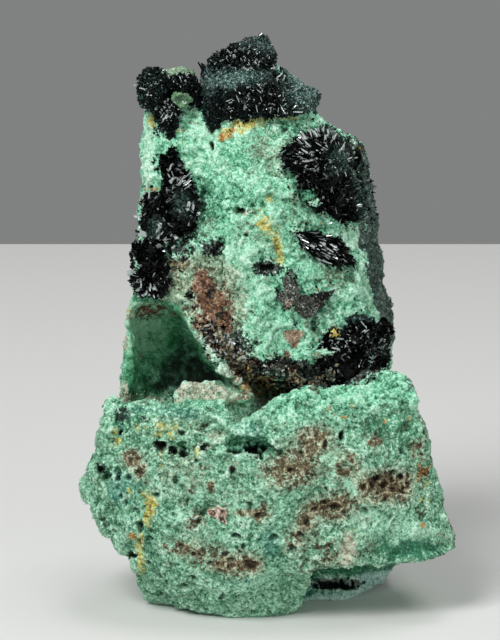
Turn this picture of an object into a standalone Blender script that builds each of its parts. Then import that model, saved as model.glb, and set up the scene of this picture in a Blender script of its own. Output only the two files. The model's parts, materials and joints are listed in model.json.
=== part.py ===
"""Vandenbrandeite specimen: near-black crystals grown on one block of green copper rock.

Lengths are in metres and +Z is up. The front, with the ledge, faces -Y. The origin is on the
flat that the block stands on. The rock is built from rough convex lumps that are fused,
weathered and hollowed. Each crystal group is a crust of lumps with prisms growing out of it,
seated on the rock with a small gap.
"""

import math
import random

import bmesh
import bpy
from mathutils import Matrix, Vector, noise
from mathutils.bvhtree import BVHTree

MM = 0.001

# The front is drawn as it is seen from a little above the horizon, at this distance.
VIEW_RISE = math.radians(12)
VIEW_DISTANCE = 300 * MM
PICTURE_MIDDLE_ACROSS = -1.5 * MM
PICTURE_MIDDLE_UP = 27.8 * MM

# The rock's skin: the size of its cells before and after hollowing, and its final faces.
FUSE_CELL = 0.55 * MM
SKIN_CELL = 0.45 * MM
ROCK_TRIANGLES = 3950
SHORTEST_EDGE = 0.1 * MM

# The rock's weathering: broad swells, and chips with flat floors and raised edges between them.
SWELL_WIDTH = 7.0 * MM
SWELL_HEIGHT = 0.75 * MM
CHIP_WIDTH = 3.0 * MM
CHIP_HEIGHT = 0.8 * MM
CHIP_LEVEL = 0.35

# Crystal groups stand this far off the rock, at most SHARPEST times as far at its sharp edges.
SEAT_GAP = 0.3 * MM
SHARPEST = 1.3

# A crust's rim stands this far out of the rock. Its raised top is this share of its outline.
RIM_RISE = 0.6 * MM
CREST_SHARE = 0.6
CREST_SPREAD = (0.75, 1.2)
RISE_SPREAD = (0.7, 1.15)
STONE_CORNERS = 24

# A crystal's root in its crust, its section in half widths, its taper, end slant and unevenness.
ROOT = 0.55 * MM
PRISM_SECTION = ((1.0, 0.0), (0.15, 0.55), (-1.0, 0.0), (-0.15, -0.55))
PRISM_TAPER = 0.85
PRISM_SLANT = 0.35
PRISM_JITTER = 0.25
FLAT_ANGLE = math.radians(0.5)

# The rock's back is looked for from this far behind the origin (mm).
BEHIND = 60

ROCK_COLOUR = (0.13, 0.42, 0.27)
ROCK_ROUGHNESS = 0.85


def clear_scene():
    for thing in list(bpy.data.objects):
        bpy.data.objects.remove(thing)


def look_direction():
    return Vector((0, math.cos(VIEW_RISE), -math.sin(VIEW_RISE)))


def picture_middle():
    return Vector((PICTURE_MIDDLE_ACROSS, 0, PICTURE_MIDDLE_UP / math.cos(VIEW_RISE)))


def eye():
    return picture_middle() - look_direction() * VIEW_DISTANCE


def picture_point(across, up):
    """The point of the upright picture plane at this many mm right of and above the origin."""
    upward = Vector((0, math.sin(VIEW_RISE), math.cos(VIEW_RISE)))
    sideways = across * MM - PICTURE_MIDDLE_ACROSS
    rise = up * MM - PICTURE_MIDDLE_UP
    return picture_middle() + Vector((sideways, 0, 0)) + upward * rise


def seen(across, up, depth):
    """The point at Y = depth that shows `across` and `up` mm from the origin in the front view."""
    ray = picture_point(across, up) - eye()
    return eye() + ray * ((depth * MM - eye().y) / ray.y)


def at(x, y, z):
    return Vector((x, y, z)) * MM


# The rough lumps of the upright part of the rock. Front corners are given as seen, the hidden
# ones as X, Y, Z.
UPRIGHT_LUMPS = {
    "spire": [
        seen(-12.2, 48.0, 1.5),
        seen(-3.0, 49.5, -0.5),
        seen(4.8, 49.0, 0.5),
        seen(8.6, 46.2, 2.0),
        seen(-12.6, 43.0, -1.0),
        seen(-2.0, 42.0, -4.2),
        seen(6.0, 42.0, -2.6),
        seen(10.2, 41.0, 1.5),
        seen(-13.2, 33.5, -1.5),
        seen(-3.0, 32.0, -6.0),
        seen(8.6, 34.0, -2.6),
        seen(10.6, 28.0, -2.4),
        seen(0.5, 22.0, -6.4),
        seen(9.5, 22.0, -4.0),
        seen(-8.5, 26.0, -3.5),
        seen(11.2, 38.6, 6.5),
        seen(13.2, 27.2, 6.0),
        seen(12.6, 23.0, 5.0),
        at(-11.4, 8.5, 46.5),
        at(3.5, 9.0, 48.0),
        at(8.8, 9.5, 43.5),
        at(10.8, 11.0, 36.0),
        at(12.2, 12.0, 25.0),
        at(-13.4, 9.5, 30.0),
        at(-13.0, 10.5, 20.0),
        at(11.5, 11.5, 17.0),
        at(0.0, 13.2, 30.0),
    ],
    "peak": [
        seen(-4.5, 52.5, 3.0),
        seen(0.0, 55.0, 3.2),
        seen(3.6, 51.8, 3.0),
        seen(5.2, 48.8, 2.5),
        seen(-5.5, 48.5, 1.0),
        seen(1.5, 48.0, 0.0),
        at(-4.8, 8.4, 50.2),
        at(0.4, 8.2, 54.0),
        at(4.4, 9.0, 49.4),
    ],
    "left_horn": [
        seen(-12.4, 49.4, 2.0),
        seen(-9.8, 52.6, 3.2),
        seen(-7.6, 52.8, 3.2),
        seen(-7.2, 49.6, 1.6),
        seen(-12.0, 46.0, 1.5),
        seen(-8.0, 46.0, 0.5),
        at(-11.5, 6.5, 47.5),
        at(-8.4, 7.0, 51.0),
    ],
    "left_rim": [
        seen(-13.6, 31.0, -0.6),
        seen(-14.1, 28.5, 0.8),
        seen(-14.6, 24.5, 1.8),
        seen(-14.9, 18.0, 1.4),
        seen(-9.5, 31.0, -2.0),
        seen(-7.0, 24.0, 4.0),
        at(-14.0, 9.0, 16.0),
        at(-13.8, 10.0, 26.0),
        at(-6.0, 11.0, 28.0),
        at(-5.0, 10.0, 14.0),
    ],
    "back": [
        at(-13.5, 8.5, 21.0),
        at(12.5, 10.5, 20.0),
        at(-14.5, 5.0, 12.0),
        at(14.8, 7.0, 11.0),
        at(-8.0, 11.6, 10.0),
        at(7.0, 12.4, 9.0),
        at(-10.0, 8.6, 2.5),
        at(10.5, 9.4, 2.0),
        at(-12.0, 0.0, 8.0),
        at(12.0, 0.0, 8.0),
        at(-12.0, 0.0, 18.0),
        at(12.0, 0.0, 20.0),
    ],
}

# The lumps of the ledge in front and of the feet below it.
LEDGE_LUMPS = {
    "ledge_right": [
        seen(11.4, 23.3, -5.8),
        seen(13.0, 22.6, -6.0),
        seen(14.7, 21.2, -6.2),
        seen(15.6, 19.0, -6.6),
        seen(8.0, 21.0, -7.6),
        seen(2.0, 20.4, -8.8),
        seen(-1.5, 18.0, -10.6),
        seen(-4.4, 15.6, -11.2),
        seen(16.5, 14.8, -7.2),
        seen(17.6, 10.6, -7.4),
        seen(18.8, 5.2, -7.6),
        seen(10.5, 12.5, -11.4),
        seen(1.0, 11.0, -12.8),
        seen(-5.0, 8.0, -12.6),
        seen(9.5, 6.0, -11.8),
        seen(14.0, 3.4, -9.4),
        seen(6.6, 2.4, -11.0),
        seen(-4.0, 1.0, -12.2),
        at(14.5, 3.0, 19.0),
        at(16.5, 3.5, 13.0),
        at(15.5, 2.5, 6.0),
        at(0.0, 3.0, 5.0),
        at(-4.0, 3.0, 17.0),
    ],
    "ledge_left": [
        seen(-15.6, 19.9, -5.2),
        seen(-14.6, 20.3, -5.6),
        seen(-10.5, 19.7, -6.4),
        seen(-7.6, 20.0, -6.8),
        seen(-3.5, 19.6, -7.4),
        seen(-16.5, 16.2, -6.4),
        seen(-17.0, 14.3, -6.6),
        seen(-18.7, 11.1, -5.6),
        seen(-17.7, 9.0, -6.0),
        seen(-14.9, 6.6, -7.2),
        seen(-14.0, 4.8, -7.4),
        seen(-9.0, 14.2, -10.6),
        seen(-13.0, 11.0, -9.8),
        seen(-3.0, 13.5, -11.4),
        seen(-10.0, 5.0, -11.6),
        at(-14.6, 3.0, 16.5),
        at(-15.5, 3.0, 11.0),
        at(-12.5, 3.0, 4.5),
        at(0.0, 2.0, 14.5),
        at(0.0, 2.0, 6.0),
    ],
    "ledge_bump": [
        seen(-8.9, 20.6, -5.8),
        seen(-7.0, 22.2, -5.4),
        seen(-5.0, 22.2, -5.2),
        seen(-2.6, 20.8, -5.8),
        seen(-5.0, 20.0, -7.6),
        seen(-5.0, 17.5, -7.4),
        at(-6.0, -2.0, 20.0),
    ],
    "front_foot": [
        seen(-13.6, 3.4, -7.4),
        seen(-13.2, 1.2, -5.6),
        seen(-11.4, -0.3, -3.0),
        seen(-7.5, -1.6, -5.8),
        seen(-3.5, -2.5, -8.2),
        seen(0.6, -2.4, -8.0),
        seen(3.6, -1.8, -6.4),
        seen(4.9, 1.4, -9.4),
        seen(-8.5, 2.6, -11.0),
        seen(-0.5, 1.6, -11.8),
        seen(4.5, 7.0, -12.4),
        seen(-9.5, 8.0, -12.0),
        seen(-12.8, 8.0, -9.0),
        at(-11.5, 5.0, -0.6),
        at(3.5, 4.0, -0.8),
        at(-12.0, 4.0, 8.0),
        at(5.0, 4.0, 8.0),
    ],
    "rear_foot": [
        seen(3.0, -0.8, -3.2),
        seen(8.5, -1.0, -3.4),
        seen(12.0, 0.9, 0.8),
        seen(12.9, 2.6, 1.5),
        seen(4.0, 3.5, -2.0),
        seen(11.0, 4.0, -1.0),
        at(11.0, 8.0, -0.6),
        at(-10.5, 7.5, -0.6),
        at(-12.5, 8.0, 6.0),
        at(13.0, 8.0, 6.0),
        at(13.0, 4.0, 7.0),
        at(-11.0, 0.0, -0.4),
    ],
}

# The niche at the left behind the ledge: middle, half sizes in mm, and turn in degrees.
ALCOVE = {
    "alcove": (seen(-8.7, 21.8, -1.0), (4.5, 7.6, 8.6), (0, -25, 0)),
    "alcove_foot": (seen(-6.2, 19.2, 0.0), (4.2, 6.2, 3.6), (0, 10, 0)),
}

# Smaller hollows worn or broken into the whole rock.
HOLLOWS = {
    "ridge_crevice": (seen(-1.2, 14.9, -11.6), (3.3, 2.3, 1.0), (0, 14, 0)),
    "shelf_crevice": (seen(-8.8, 14.6, -10.6), (2.3, 1.8, 0.9), (0, -6, 0)),
    "shelf_step": (seen(-9.6, 17.6, -9.6), (6.6, 1.5, 1.8), (0, 4, 0)),
    "left_pit": (seen(-16.0, 11.9, -7.4), (0.8, 1.4, 0.7), (0, 0, 0)),
    "waist_pit": (seen(-14.0, 4.8, -8.6), (1.0, 1.3, 1.5), (0, 0, 0)),
    "right_pits": (seen(12.5, 11.8, -10.4), (2.7, 1.3, 1.0), (0, -8, 0)),
    "face_pit": (seen(0.8, 33.4, -5.4), (1.1, 1.5, 0.6), (0, 10, 0)),
    "face_hollow": (seen(-2.7, 38.4, -5.2), (0.8, 1.2, 0.6), (0, 0, 0)),
    "back_hollow": (at(3.5, 13.4, 21.0), (4.6, 3.2, 5.6), (0, 20, 10)),
    "back_pit": (at(-6.0, 12.6, 13.0), (3.0, 2.2, 2.2), (0, 0, 0)),
}

# What the base is cut with: its middle and its sides.
BASE_BOX = (at(0, 0, -10), at(60, 60, 20))

# Crystal groups. A dome is a crust drawn by its outline as seen (mm), with how far it rises from
# the rock and how far it reaches behind the rock face. A ball is drawn by its middle as seen and
# at a depth, with its half sizes across, up and deep. A group behind the rock is drawn by X and Z.
# Crystals stand out from their crust, fan out from a focus, or lean one way.
CRYSTAL_GROUPS = {
    "crown": {
        "domes": [
            (
                [(0.3, 56.1), (-1.5, 55.8), (-3.1, 55.2), (-4.9, 54.0), (-5.7, 52.8), (-5.0, 51.4),
                 (-2.0, 50.8), (1.0, 51.4), (2.2, 52.8), (1.5, 54.6), (1.0, 55.6)],
                1.3,
                3.4,
            ),
            (
                [(-5.9, 53.0), (-6.0, 51.0), (-5.6, 49.4), (-4.8, 48.2), (-3.3, 47.7), (-1.4, 48.0),
                 (-1.4, 51.2), (-4.0, 52.8)],
                1.2,
                2.5,
            ),
            (
                [(-1.8, 51.4), (-1.8, 48.2), (2.0, 48.2), (4.2, 48.5), (5.3, 48.7), (5.3, 50.2),
                 (4.4, 51.6), (2.7, 52.9), (0.4, 52.6)],
                1.5,
                3.2,
            ),
        ],
        "prisms": 27,
        "length": (0.3, 0.8),
        "width": (0.9, 1.5),
        "colour": (0.010, 0.032, 0.030),
        "roughness": 0.30,
    },
    "knob": {
        "balls": [
            (-11.3, 50.1, 1.4, 1.6, 2.0, 1.9),
            (-9.5, 51.4, 2.0, 1.2, 1.3, 1.3),
            (-9.8, 48.5, 0.9, 1.5, 2.0, 1.2),
            (-7.9, 51.0, 1.8, 1.0, 1.2, 1.3),
        ],
        "prisms": 9,
        "length": (0.25, 0.5),
        "width": (0.6, 1.0),
        "colour": (0.006, 0.022, 0.018),
        "roughness": 0.28,
    },
    "left_cluster": {
        "domes": [
            (
                [(-9.6, 45.2), (-8.4, 44.0), (-7.6, 42.4), (-8.4, 41.4), (-10.2, 41.4), (-10.5, 43.6)],
                1.1,
                1.0,
            ),
            (
                [(-8.2, 42.6), (-7.0, 41.6), (-6.6, 39.6), (-7.0, 37.2), (-8.2, 35.6), (-9.4, 35.4),
                 (-10.4, 37.4), (-10.0, 41.2)],
                1.3,
                1.0,
            ),
            (
                [(-12.2, 40.6), (-10.4, 41.0), (-9.2, 38.6), (-9.2, 35.8), (-11.0, 35.0), (-13.0, 35.4),
                 (-13.4, 37.4)],
                1.5,
                1.2,
            ),
            (
                [(-13.4, 36.2), (-11.2, 36.0), (-9.9, 33.6), (-9.4, 31.6), (-10.6, 29.9), (-12.6, 30.0),
                 (-13.8, 31.6), (-13.9, 34.0)],
                1.5,
                1.2,
            ),
        ],
        "prisms": 21,
        "length": (0.35, 0.9),
        "width": (0.7, 1.3),
        "colour": (0.006, 0.020, 0.017),
        "roughness": 0.22,
    },
    "right_fan": {
        "domes": [
            (
                [(4.2, 46.6), (6.4, 47.2), (8.4, 46.4), (9.6, 44.6), (9.4, 42.6), (6.8, 42.0),
                 (4.0, 42.2), (2.0, 43.0), (2.2, 44.6)],
                1.5,
                1.0,
            ),
            (
                [(2.6, 43.0), (6.0, 43.6), (9.2, 43.8), (10.0, 41.0), (9.6, 38.6), (7.4, 38.0),
                 (5.0, 38.6), (3.8, 40.4)],
                1.7,
                1.0,
            ),
        ],
        "focus": (7.0, 43.4),
        "spread": 0.9,
        "prisms": 22,
        "length": (0.7, 1.2),
        "width": (0.5, 0.8),
        "colour": (0.005, 0.012, 0.012),
        "roughness": 0.20,
    },
    "right_spray": {
        "domes": [
            (
                [(2.9, 36.6), (4.8, 36.5), (7.0, 35.8), (8.6, 34.4), (8.8, 33.2), (7.0, 33.4),
                 (4.6, 34.6)],
                0.9,
                0.6,
            ),
        ],
        "lean": (0.9, -0.35, -0.45),
        "spread": 0.3,
        "prisms": 10,
        "length": (1.1, 1.8),
        "width": (0.4, 0.6),
        "colour": (0.006, 0.011, 0.012),
        "roughness": 0.20,
    },
    "low_cluster": {
        "domes": [
            (
                [(8.3, 28.2), (10.6, 28.2), (12.2, 26.6), (12.3, 24.6), (11.2, 23.6), (8.8, 24.0),
                 (7.8, 26.0)],
                1.5,
                1.2,
            ),
            (
                [(6.0, 26.2), (8.2, 26.6), (9.6, 25.0), (10.8, 23.4), (8.6, 22.0), (6.4, 21.4),
                 (5.4, 22.6), (5.3, 24.6)],
                1.3,
                1.2,
            ),
        ],
        "prisms": 16,
        "length": (0.4, 0.8),
        "width": (0.7, 1.1),
        "colour": (0.005, 0.013, 0.012),
        "roughness": 0.22,
    },
    "seam_crust": {
        "domes": [
            (
                [(-6.8, 27.6), (-5.4, 27.8), (-4.0, 26.0), (-2.4, 24.0), (-2.8, 22.2), (-4.2, 22.6),
                 (-5.8, 25.2)],
                0.8,
                0.5,
            ),
            (
                [(-3.0, 24.2), (-0.4, 23.4), (2.2, 23.2), (3.9, 23.2), (3.9, 21.4), (2.4, 20.6),
                 (-0.6, 21.0), (-2.8, 22.0)],
                0.8,
                0.5,
            ),
        ],
        "prisms": 10,
        "length": (0.4, 0.7),
        "width": (0.4, 0.6),
        "colour": (0.040, 0.024, 0.015),
        "roughness": 0.45,
    },
    "face_crystals": {
        "domes": [
            (
                [(1.9, 32.8), (2.9, 32.9), (3.3, 31.0), (3.2, 29.6), (2.2, 28.8), (1.4, 29.8)],
                0.6,
                0.4,
            ),
            (
                [(2.6, 30.0), (4.2, 29.8), (6.6, 30.9), (7.1, 30.4), (5.2, 29.0), (4.2, 27.9),
                 (2.9, 28.4)],
                0.6,
                0.4,
            ),
        ],
        "prisms": 5,
        "length": (0.4, 0.7),
        "width": (0.4, 0.6),
        "colour": (0.045, 0.052, 0.050),
        "roughness": 0.40,
    },
    "back_high_crust": {
        "domes": [
            (
                [(-7.8, 42.6), (-4.6, 43.6), (-2.2, 41.6), (-1.4, 38.4), (-3.4, 36.8), (-6.6, 37.2),
                 (-8.6, 39.6)],
                1.5,
                0.8,
            ),
            (
                [(-5.6, 38.8), (-1.6, 39.6), (0.4, 37.2), (-0.4, 34.4), (-3.2, 33.6), (-5.4, 35.6)],
                1.4,
                0.8,
            ),
        ],
        "behind": True,
        "prisms": 12,
        "length": (0.5, 1.0),
        "width": (0.7, 1.2),
        "colour": (0.006, 0.020, 0.017),
        "roughness": 0.25,
    },
    "back_low_crust": {
        "domes": [
            (
                [(2.0, 25.4), (5.2, 26.4), (7.6, 24.2), (6.8, 20.8), (3.6, 19.4), (1.0, 21.6)],
                1.4,
                0.8,
            ),
        ],
        "behind": True,
        "prisms": 10,
        "length": (0.5, 1.0),
        "width": (0.7, 1.1),
        "colour": (0.007, 0.022, 0.018),
        "roughness": 0.28,
    },
}


def tidy_hull(corners):
    """A closed convex mesh round the corners."""
    lump = bmesh.new()
    for corner in corners:
        lump.verts.new(corner)
    made = bmesh.ops.convex_hull(lump, input=lump.verts)
    spare = made["geom_interior"] + made["geom_unused"]
    inside = [point for point in set(spare) if isinstance(point, bmesh.types.BMVert)]
    bmesh.ops.delete(lump, geom=inside, context="VERTS")
    bmesh.ops.recalc_face_normals(lump, faces=lump.faces)
    return lump


def add_to(target, source):
    """Copies one mesh into another and frees the copy's source."""
    mesh = bpy.data.meshes.new("passing")
    source.to_mesh(mesh)
    source.free()
    target.from_mesh(mesh)
    bpy.data.meshes.remove(mesh)


def add_object(name, mesh, shown=True):
    made = bpy.data.objects.new(name, mesh)
    bpy.context.scene.collection.objects.link(made)
    if not shown:
        made.hide_render = True
        made.display_type = "WIRE"
    return made


def mesh_of(name, shape):
    mesh = bpy.data.meshes.new(name)
    shape.to_mesh(mesh)
    shape.free()
    return mesh


def as_evaluated(source, name):
    """A plain mesh of what the object's modifiers make of it."""
    bpy.context.view_layer.update()
    graph = bpy.context.evaluated_depsgraph_get()
    mesh = bpy.data.meshes.new_from_object(source.evaluated_get(graph))
    mesh.name = name
    return mesh


def reskin(target, cell):
    """A remesh into one closed skin of small even cells, left on the object."""
    remesh = target.modifiers.new("skin", "REMESH")
    remesh.mode = "VOXEL"
    remesh.voxel_size = cell


def fused(name, lumps, cell):
    """One skin round overlapping closed lumps."""
    whole = bmesh.new()
    for lump in lumps:
        add_to(whole, lump)
    rough = add_object(name + "_rough", mesh_of(name + "_rough", whole), shown=False)
    reskin(rough, cell)
    mesh = as_evaluated(rough, name)
    bpy.data.objects.remove(rough)
    return mesh


def weathered(shape):
    """Broad swells and flat chips over the whole skin."""
    shape.normal_update()
    moves = []
    for vertex in shape.verts:
        place = vertex.co
        swell = noise.noise(place / SWELL_WIDTH)
        near, _ = noise.voronoi(place / CHIP_WIDTH)
        chip = near[1] - near[0] - CHIP_LEVEL
        step = swell * SWELL_HEIGHT + chip * CHIP_HEIGHT
        moves.append(vertex.normal * step)
    for vertex, move in zip(shape.verts, moves):
        vertex.co += move


def ellipsoid(middle, half_sizes, turn):
    """A closed ball stretched to its half sizes (mm), turned by degrees about X, Y and Z."""
    ball = bmesh.new()
    bmesh.ops.create_icosphere(ball, subdivisions=3, radius=1)
    stretch = Matrix.Diagonal([size * MM for size in half_sizes]).to_4x4()
    turned = Matrix.Identity(4)
    for axis, angle in zip("XYZ", turn):
        turned = Matrix.Rotation(math.radians(angle), 4, axis) @ turned
    ball.transform(Matrix.Translation(middle) @ turned @ stretch)
    return ball


def cut_away(target, cutter, cutter_name):
    """A Boolean difference, left on the object and given back."""
    cut = target.modifiers.new(cutter_name, "BOOLEAN")
    cut.operation = "DIFFERENCE"
    cut.solver = "EXACT"
    cut.object = cutter
    return cut


def largest_piece(shape):
    """Deletes all but the largest connected part."""
    left = set(shape.verts)
    pieces = []
    while left:
        start = left.pop()
        piece = {start}
        edge = [start]
        while edge:
            vertex = edge.pop()
            for link in vertex.link_edges:
                other = link.other_vert(vertex)
                if other not in piece:
                    piece.add(other)
                    edge.append(other)
        left -= piece
        pieces.append(piece)
    pieces.sort(key=len)
    spare = [vertex for piece in pieces[:-1] for vertex in piece]
    bmesh.ops.delete(shape, geom=spare, context="VERTS")


def flat_base(block):
    """Cuts the underside off flat at Z = 0."""
    middle, sides = BASE_BOX
    shape = bmesh.new()
    place = Matrix.Translation(middle) @ Matrix.Diagonal(sides).to_4x4()
    bmesh.ops.create_cube(shape, size=1, matrix=place)
    cutter = add_object("base_cut", mesh_of("base_cut", shape), shown=False)
    cut_away(block, cutter, "base_cut")
    return cutter


def hollow_out(target, hollows):
    """Cuts ellipsoid hollows into the object and gives back the helpers."""
    cutters = []
    for name, (middle, half_sizes, turn) in hollows.items():
        cutter = add_object(name, mesh_of(name, ellipsoid(middle, half_sizes, turn)), shown=False)
        cut_away(target, cutter, name)
        cutters.append(cutter)
    return cutters


def upright_part():
    """The upright lumps in one skin, with the alcove cut into it."""
    lumps = [tidy_hull(corners) for corners in UPRIGHT_LUMPS.values()]
    block = add_object("upright", fused("upright", lumps, FUSE_CELL), shown=False)
    cutters = hollow_out(block, ALCOVE)
    shape = bmesh.new()
    shape.from_mesh(as_evaluated(block, "upright_hollowed"))
    for helper in [block, *cutters]:
        bpy.data.objects.remove(helper)
    return shape


def build_rock():
    """The green block that everything grows on, as a plain mesh."""
    lumps = [upright_part()]
    lumps += [tidy_hull(corners) for corners in LEDGE_LUMPS.values()]
    skin = bmesh.new()
    skin.from_mesh(fused("rock_skin", lumps, FUSE_CELL))
    weathered(skin)
    block = add_object("rock_block", mesh_of("rock_block", skin), shown=False)
    cutters = hollow_out(block, HOLLOWS)
    reskin(block, SKIN_CELL)
    hollowed = as_evaluated(block, "rock_hollowed")
    triangles = sum(len(face.vertices) - 2 for face in hollowed.polygons)
    fewer = block.modifiers.new("fewer_faces", "DECIMATE")
    fewer.ratio = ROCK_TRIANGLES / triangles
    cutters.append(flat_base(block))
    shape = bmesh.new()
    shape.from_mesh(as_evaluated(block, "matrix_cut"))
    bmesh.ops.dissolve_degenerate(shape, dist=SHORTEST_EDGE, edges=shape.edges)
    bmesh.ops.triangulate(shape, faces=shape.faces)
    largest_piece(shape)
    for helper in [block, *cutters]:
        bpy.data.objects.remove(helper)
    return add_object("matrix", mesh_of("matrix", shape))


def any_way(dice):
    """A random direction."""
    way = Vector([dice.gauss(0, 1) for _ in range(3)])
    return way.normalized()


def stone(middle, half_sizes, dice):
    """A round faceted lump of crystal crust."""
    corners = []
    for _ in range(STONE_CORNERS):
        way = any_way(dice)
        corners.append(middle + Vector([way[i] * half_sizes[i] for i in range(3)]) * MM)
    return tidy_hull(corners)


def dome(outline, rise, reach, hit, dice):
    """A low faceted crust over an outline on the rock."""
    count = len(outline)
    middle = [sum(point[i] for point in outline) / count for i in (0, 1)]
    corners = []
    for across, up in outline:
        place, sight = hit(across, up)
        corners.append(place - sight * RIM_RISE)
        corners.append(place + sight * reach * MM)
        share = CREST_SHARE * dice.uniform(*CREST_SPREAD)
        inner = [middle[i] + ((across, up)[i] - middle[i]) * share for i in (0, 1)]
        place, sight = hit(*inner)
        corners.append(place - sight * rise * MM * dice.uniform(*RISE_SPREAD))
    return tidy_hull(corners)


def prism(foot, along, length, width, roll):
    """A flat four-sided crystal with an oblique end."""
    shape = bmesh.new()
    low = []
    high = []
    for across, thick in PRISM_SECTION:
        x = across * width / 2
        y = thick * width / 2
        top = length - width * PRISM_SLANT * (1 - across)
        low.append(shape.verts.new((x, y, 0)))
        high.append(shape.verts.new((x * PRISM_TAPER, y * PRISM_TAPER, top)))
    shape.faces.new(low[::-1])
    shape.faces.new(high)
    for first in range(len(low)):
        after = (first + 1) % len(low)
        shape.faces.new((low[first], low[after], high[after], high[first]))
    turned = along.to_track_quat("Z", "Y").to_matrix().to_4x4()
    shape.transform(Matrix.Translation(foot) @ turned @ Matrix.Rotation(roll, 4, "Z"))
    return shape


def front_hit(rock, across, up):
    """Where the rock is met in the front view, and the direction of sight there."""
    sight = (picture_point(across, up) - eye()).normalized()
    place, _, _, _ = rock.ray_cast(eye(), sight)
    if place is None:
        nearest, _, _, _ = rock.find_nearest(picture_point(across, up))
        place = seen(across, up, nearest.y / MM)
    return place, sight


def back_hit(rock, across, up):
    """Where the rock is met from straight behind at X and Z in mm."""
    sight = Vector((0, -1, 0))
    place, _, _, _ = rock.ray_cast(at(across, BEHIND, up), sight)
    return place, sight


def open_spots(crust, rock, count, dice):
    """Points on the crust that stand clear of the rock, with the way out from it."""
    bmesh.ops.triangulate(crust, faces=crust.faces)
    crust.normal_update()
    faces = list(crust.faces)
    areas = [face.calc_area() for face in faces]
    spots = []
    while len(spots) < count:
        face = dice.choices(faces, areas)[0]
        first, second, third = [vertex.co for vertex in face.verts]
        share = sorted((dice.random(), dice.random()))
        spot = first * share[0] + second * (share[1] - share[0]) + third * (1 - share[1])
        near, outward, _, _ = rock.find_nearest(spot)
        if (spot - near).dot(outward) > SEAT_GAP and face.normal.dot(outward) > 0:
            spots.append((spot, face.normal.copy()))
    return spots


def growth_way(plan, spot, outward, dice):
    """Which way a crystal points at a spot of its crust."""
    way = outward.copy()
    if "focus" in plan:
        way = (spot - seen(*plan["focus"], 0)) * Vector((1, 0, 1))
        way = way.normalized() + outward * plan["spread"]
    if "lean" in plan:
        way = Vector(plan["lean"]).normalized() + outward * plan["spread"]
    return (way.normalized() + any_way(dice) * PRISM_JITTER).normalized()


def crystal_group(name, plan, rock, clearance):
    """A crust with prisms, fused in one solid and seated clear of the rock."""
    dice = random.Random(name)

    def hit(across, up):
        return back_hit(rock, across, up) if plan.get("behind") else front_hit(rock, across, up)

    crust = bmesh.new()
    for outline, rise, reach in plan.get("domes", []):
        add_to(crust, dome(outline, rise, reach, hit, dice))
    for across, up, depth, wide, high, deep in plan.get("balls", []):
        add_to(crust, stone(seen(across, up, depth), (wide, deep, high), dice))
    for spot, outward in open_spots(crust, rock, plan["prisms"], dice):
        along = growth_way(plan, spot, outward, dice)
        length = dice.uniform(*plan["length"]) * MM + ROOT
        width = dice.uniform(*plan["width"]) * MM
        add_to(crust, prism(spot - along * ROOT, along, length, width, dice.uniform(0, math.pi)))
    raw = add_object(name + "_raw", mesh_of(name + "_raw", crust), shown=False)
    seat = cut_away(raw, clearance, "seat")
    seat.use_self = True
    group = bmesh.new()
    group.from_mesh(as_evaluated(raw, name))
    largest_piece(group)
    bmesh.ops.dissolve_limit(group, angle_limit=FLAT_ANGLE, verts=group.verts, edges=group.edges)
    bmesh.ops.triangulate(group, faces=group.faces)
    bpy.data.objects.remove(raw)
    return add_object(name, mesh_of(name, group))


def rock_clearance(rock):
    """The rock grown by the seat gap, to cut the crystal groups with."""
    shape = bmesh.new()
    shape.from_mesh(rock.data)
    shape.normal_update()
    moves = [vertex.normal * min(vertex.calc_shell_factor(), SHARPEST) * SEAT_GAP for vertex in shape.verts]
    for vertex, move in zip(shape.verts, moves):
        vertex.co += move
    return add_object("clearance", mesh_of("clearance", shape), shown=False)


def finish(thing, colour, roughness):
    """Gives the object a material of its own."""
    made = bpy.data.materials.new(thing.name)
    made.use_nodes = True
    shader = made.node_tree.nodes["Principled BSDF"]
    shader.inputs["Base Color"].default_value = (*colour, 1)
    shader.inputs["Roughness"].default_value = roughness
    shader.inputs["Metallic"].default_value = 0
    thing.data.materials.append(made)


def main():
    clear_scene()
    rock = build_rock()
    finish(rock, ROCK_COLOUR, ROCK_ROUGHNESS)
    clearance = rock_clearance(rock)
    surface = BVHTree.FromObject(rock, bpy.context.evaluated_depsgraph_get())
    for name, plan in CRYSTAL_GROUPS.items():
        group = crystal_group(name, plan, surface, clearance)
        finish(group, plan["colour"], plan["roughness"])
    bpy.data.objects.remove(clearance)


main()
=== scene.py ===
"""The looks of a vandenbrandeite specimen: near-black bladed crystals on green copper rock.

The rock and the crystal groups of the frame are copied, refined and dressed here. Lengths are in
metres, the front faces -Y, and places on the front are given in millimetres as they are seen.
"""

import json
import math
import random

import bmesh
import bpy
import numpy as np
from mathutils import Euler, Matrix, Quaternion, Vector, noise
from mathutils.bvhtree import BVHTree


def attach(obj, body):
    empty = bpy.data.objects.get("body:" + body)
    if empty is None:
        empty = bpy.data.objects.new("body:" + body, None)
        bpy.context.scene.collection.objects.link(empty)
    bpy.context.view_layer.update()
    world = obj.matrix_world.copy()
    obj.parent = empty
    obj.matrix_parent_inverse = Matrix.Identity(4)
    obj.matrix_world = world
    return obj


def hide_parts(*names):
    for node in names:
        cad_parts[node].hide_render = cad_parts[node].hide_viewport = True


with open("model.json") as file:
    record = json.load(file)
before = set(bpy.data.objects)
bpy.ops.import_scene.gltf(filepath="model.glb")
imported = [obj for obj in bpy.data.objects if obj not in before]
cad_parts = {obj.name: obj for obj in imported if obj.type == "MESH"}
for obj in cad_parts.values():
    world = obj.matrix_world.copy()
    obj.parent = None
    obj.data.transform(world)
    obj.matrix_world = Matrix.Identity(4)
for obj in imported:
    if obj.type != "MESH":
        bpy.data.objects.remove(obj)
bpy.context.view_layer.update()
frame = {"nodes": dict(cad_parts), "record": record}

MM = 0.001

# Directions from noise are the same in every run.
noise.seed_set(5)

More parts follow.
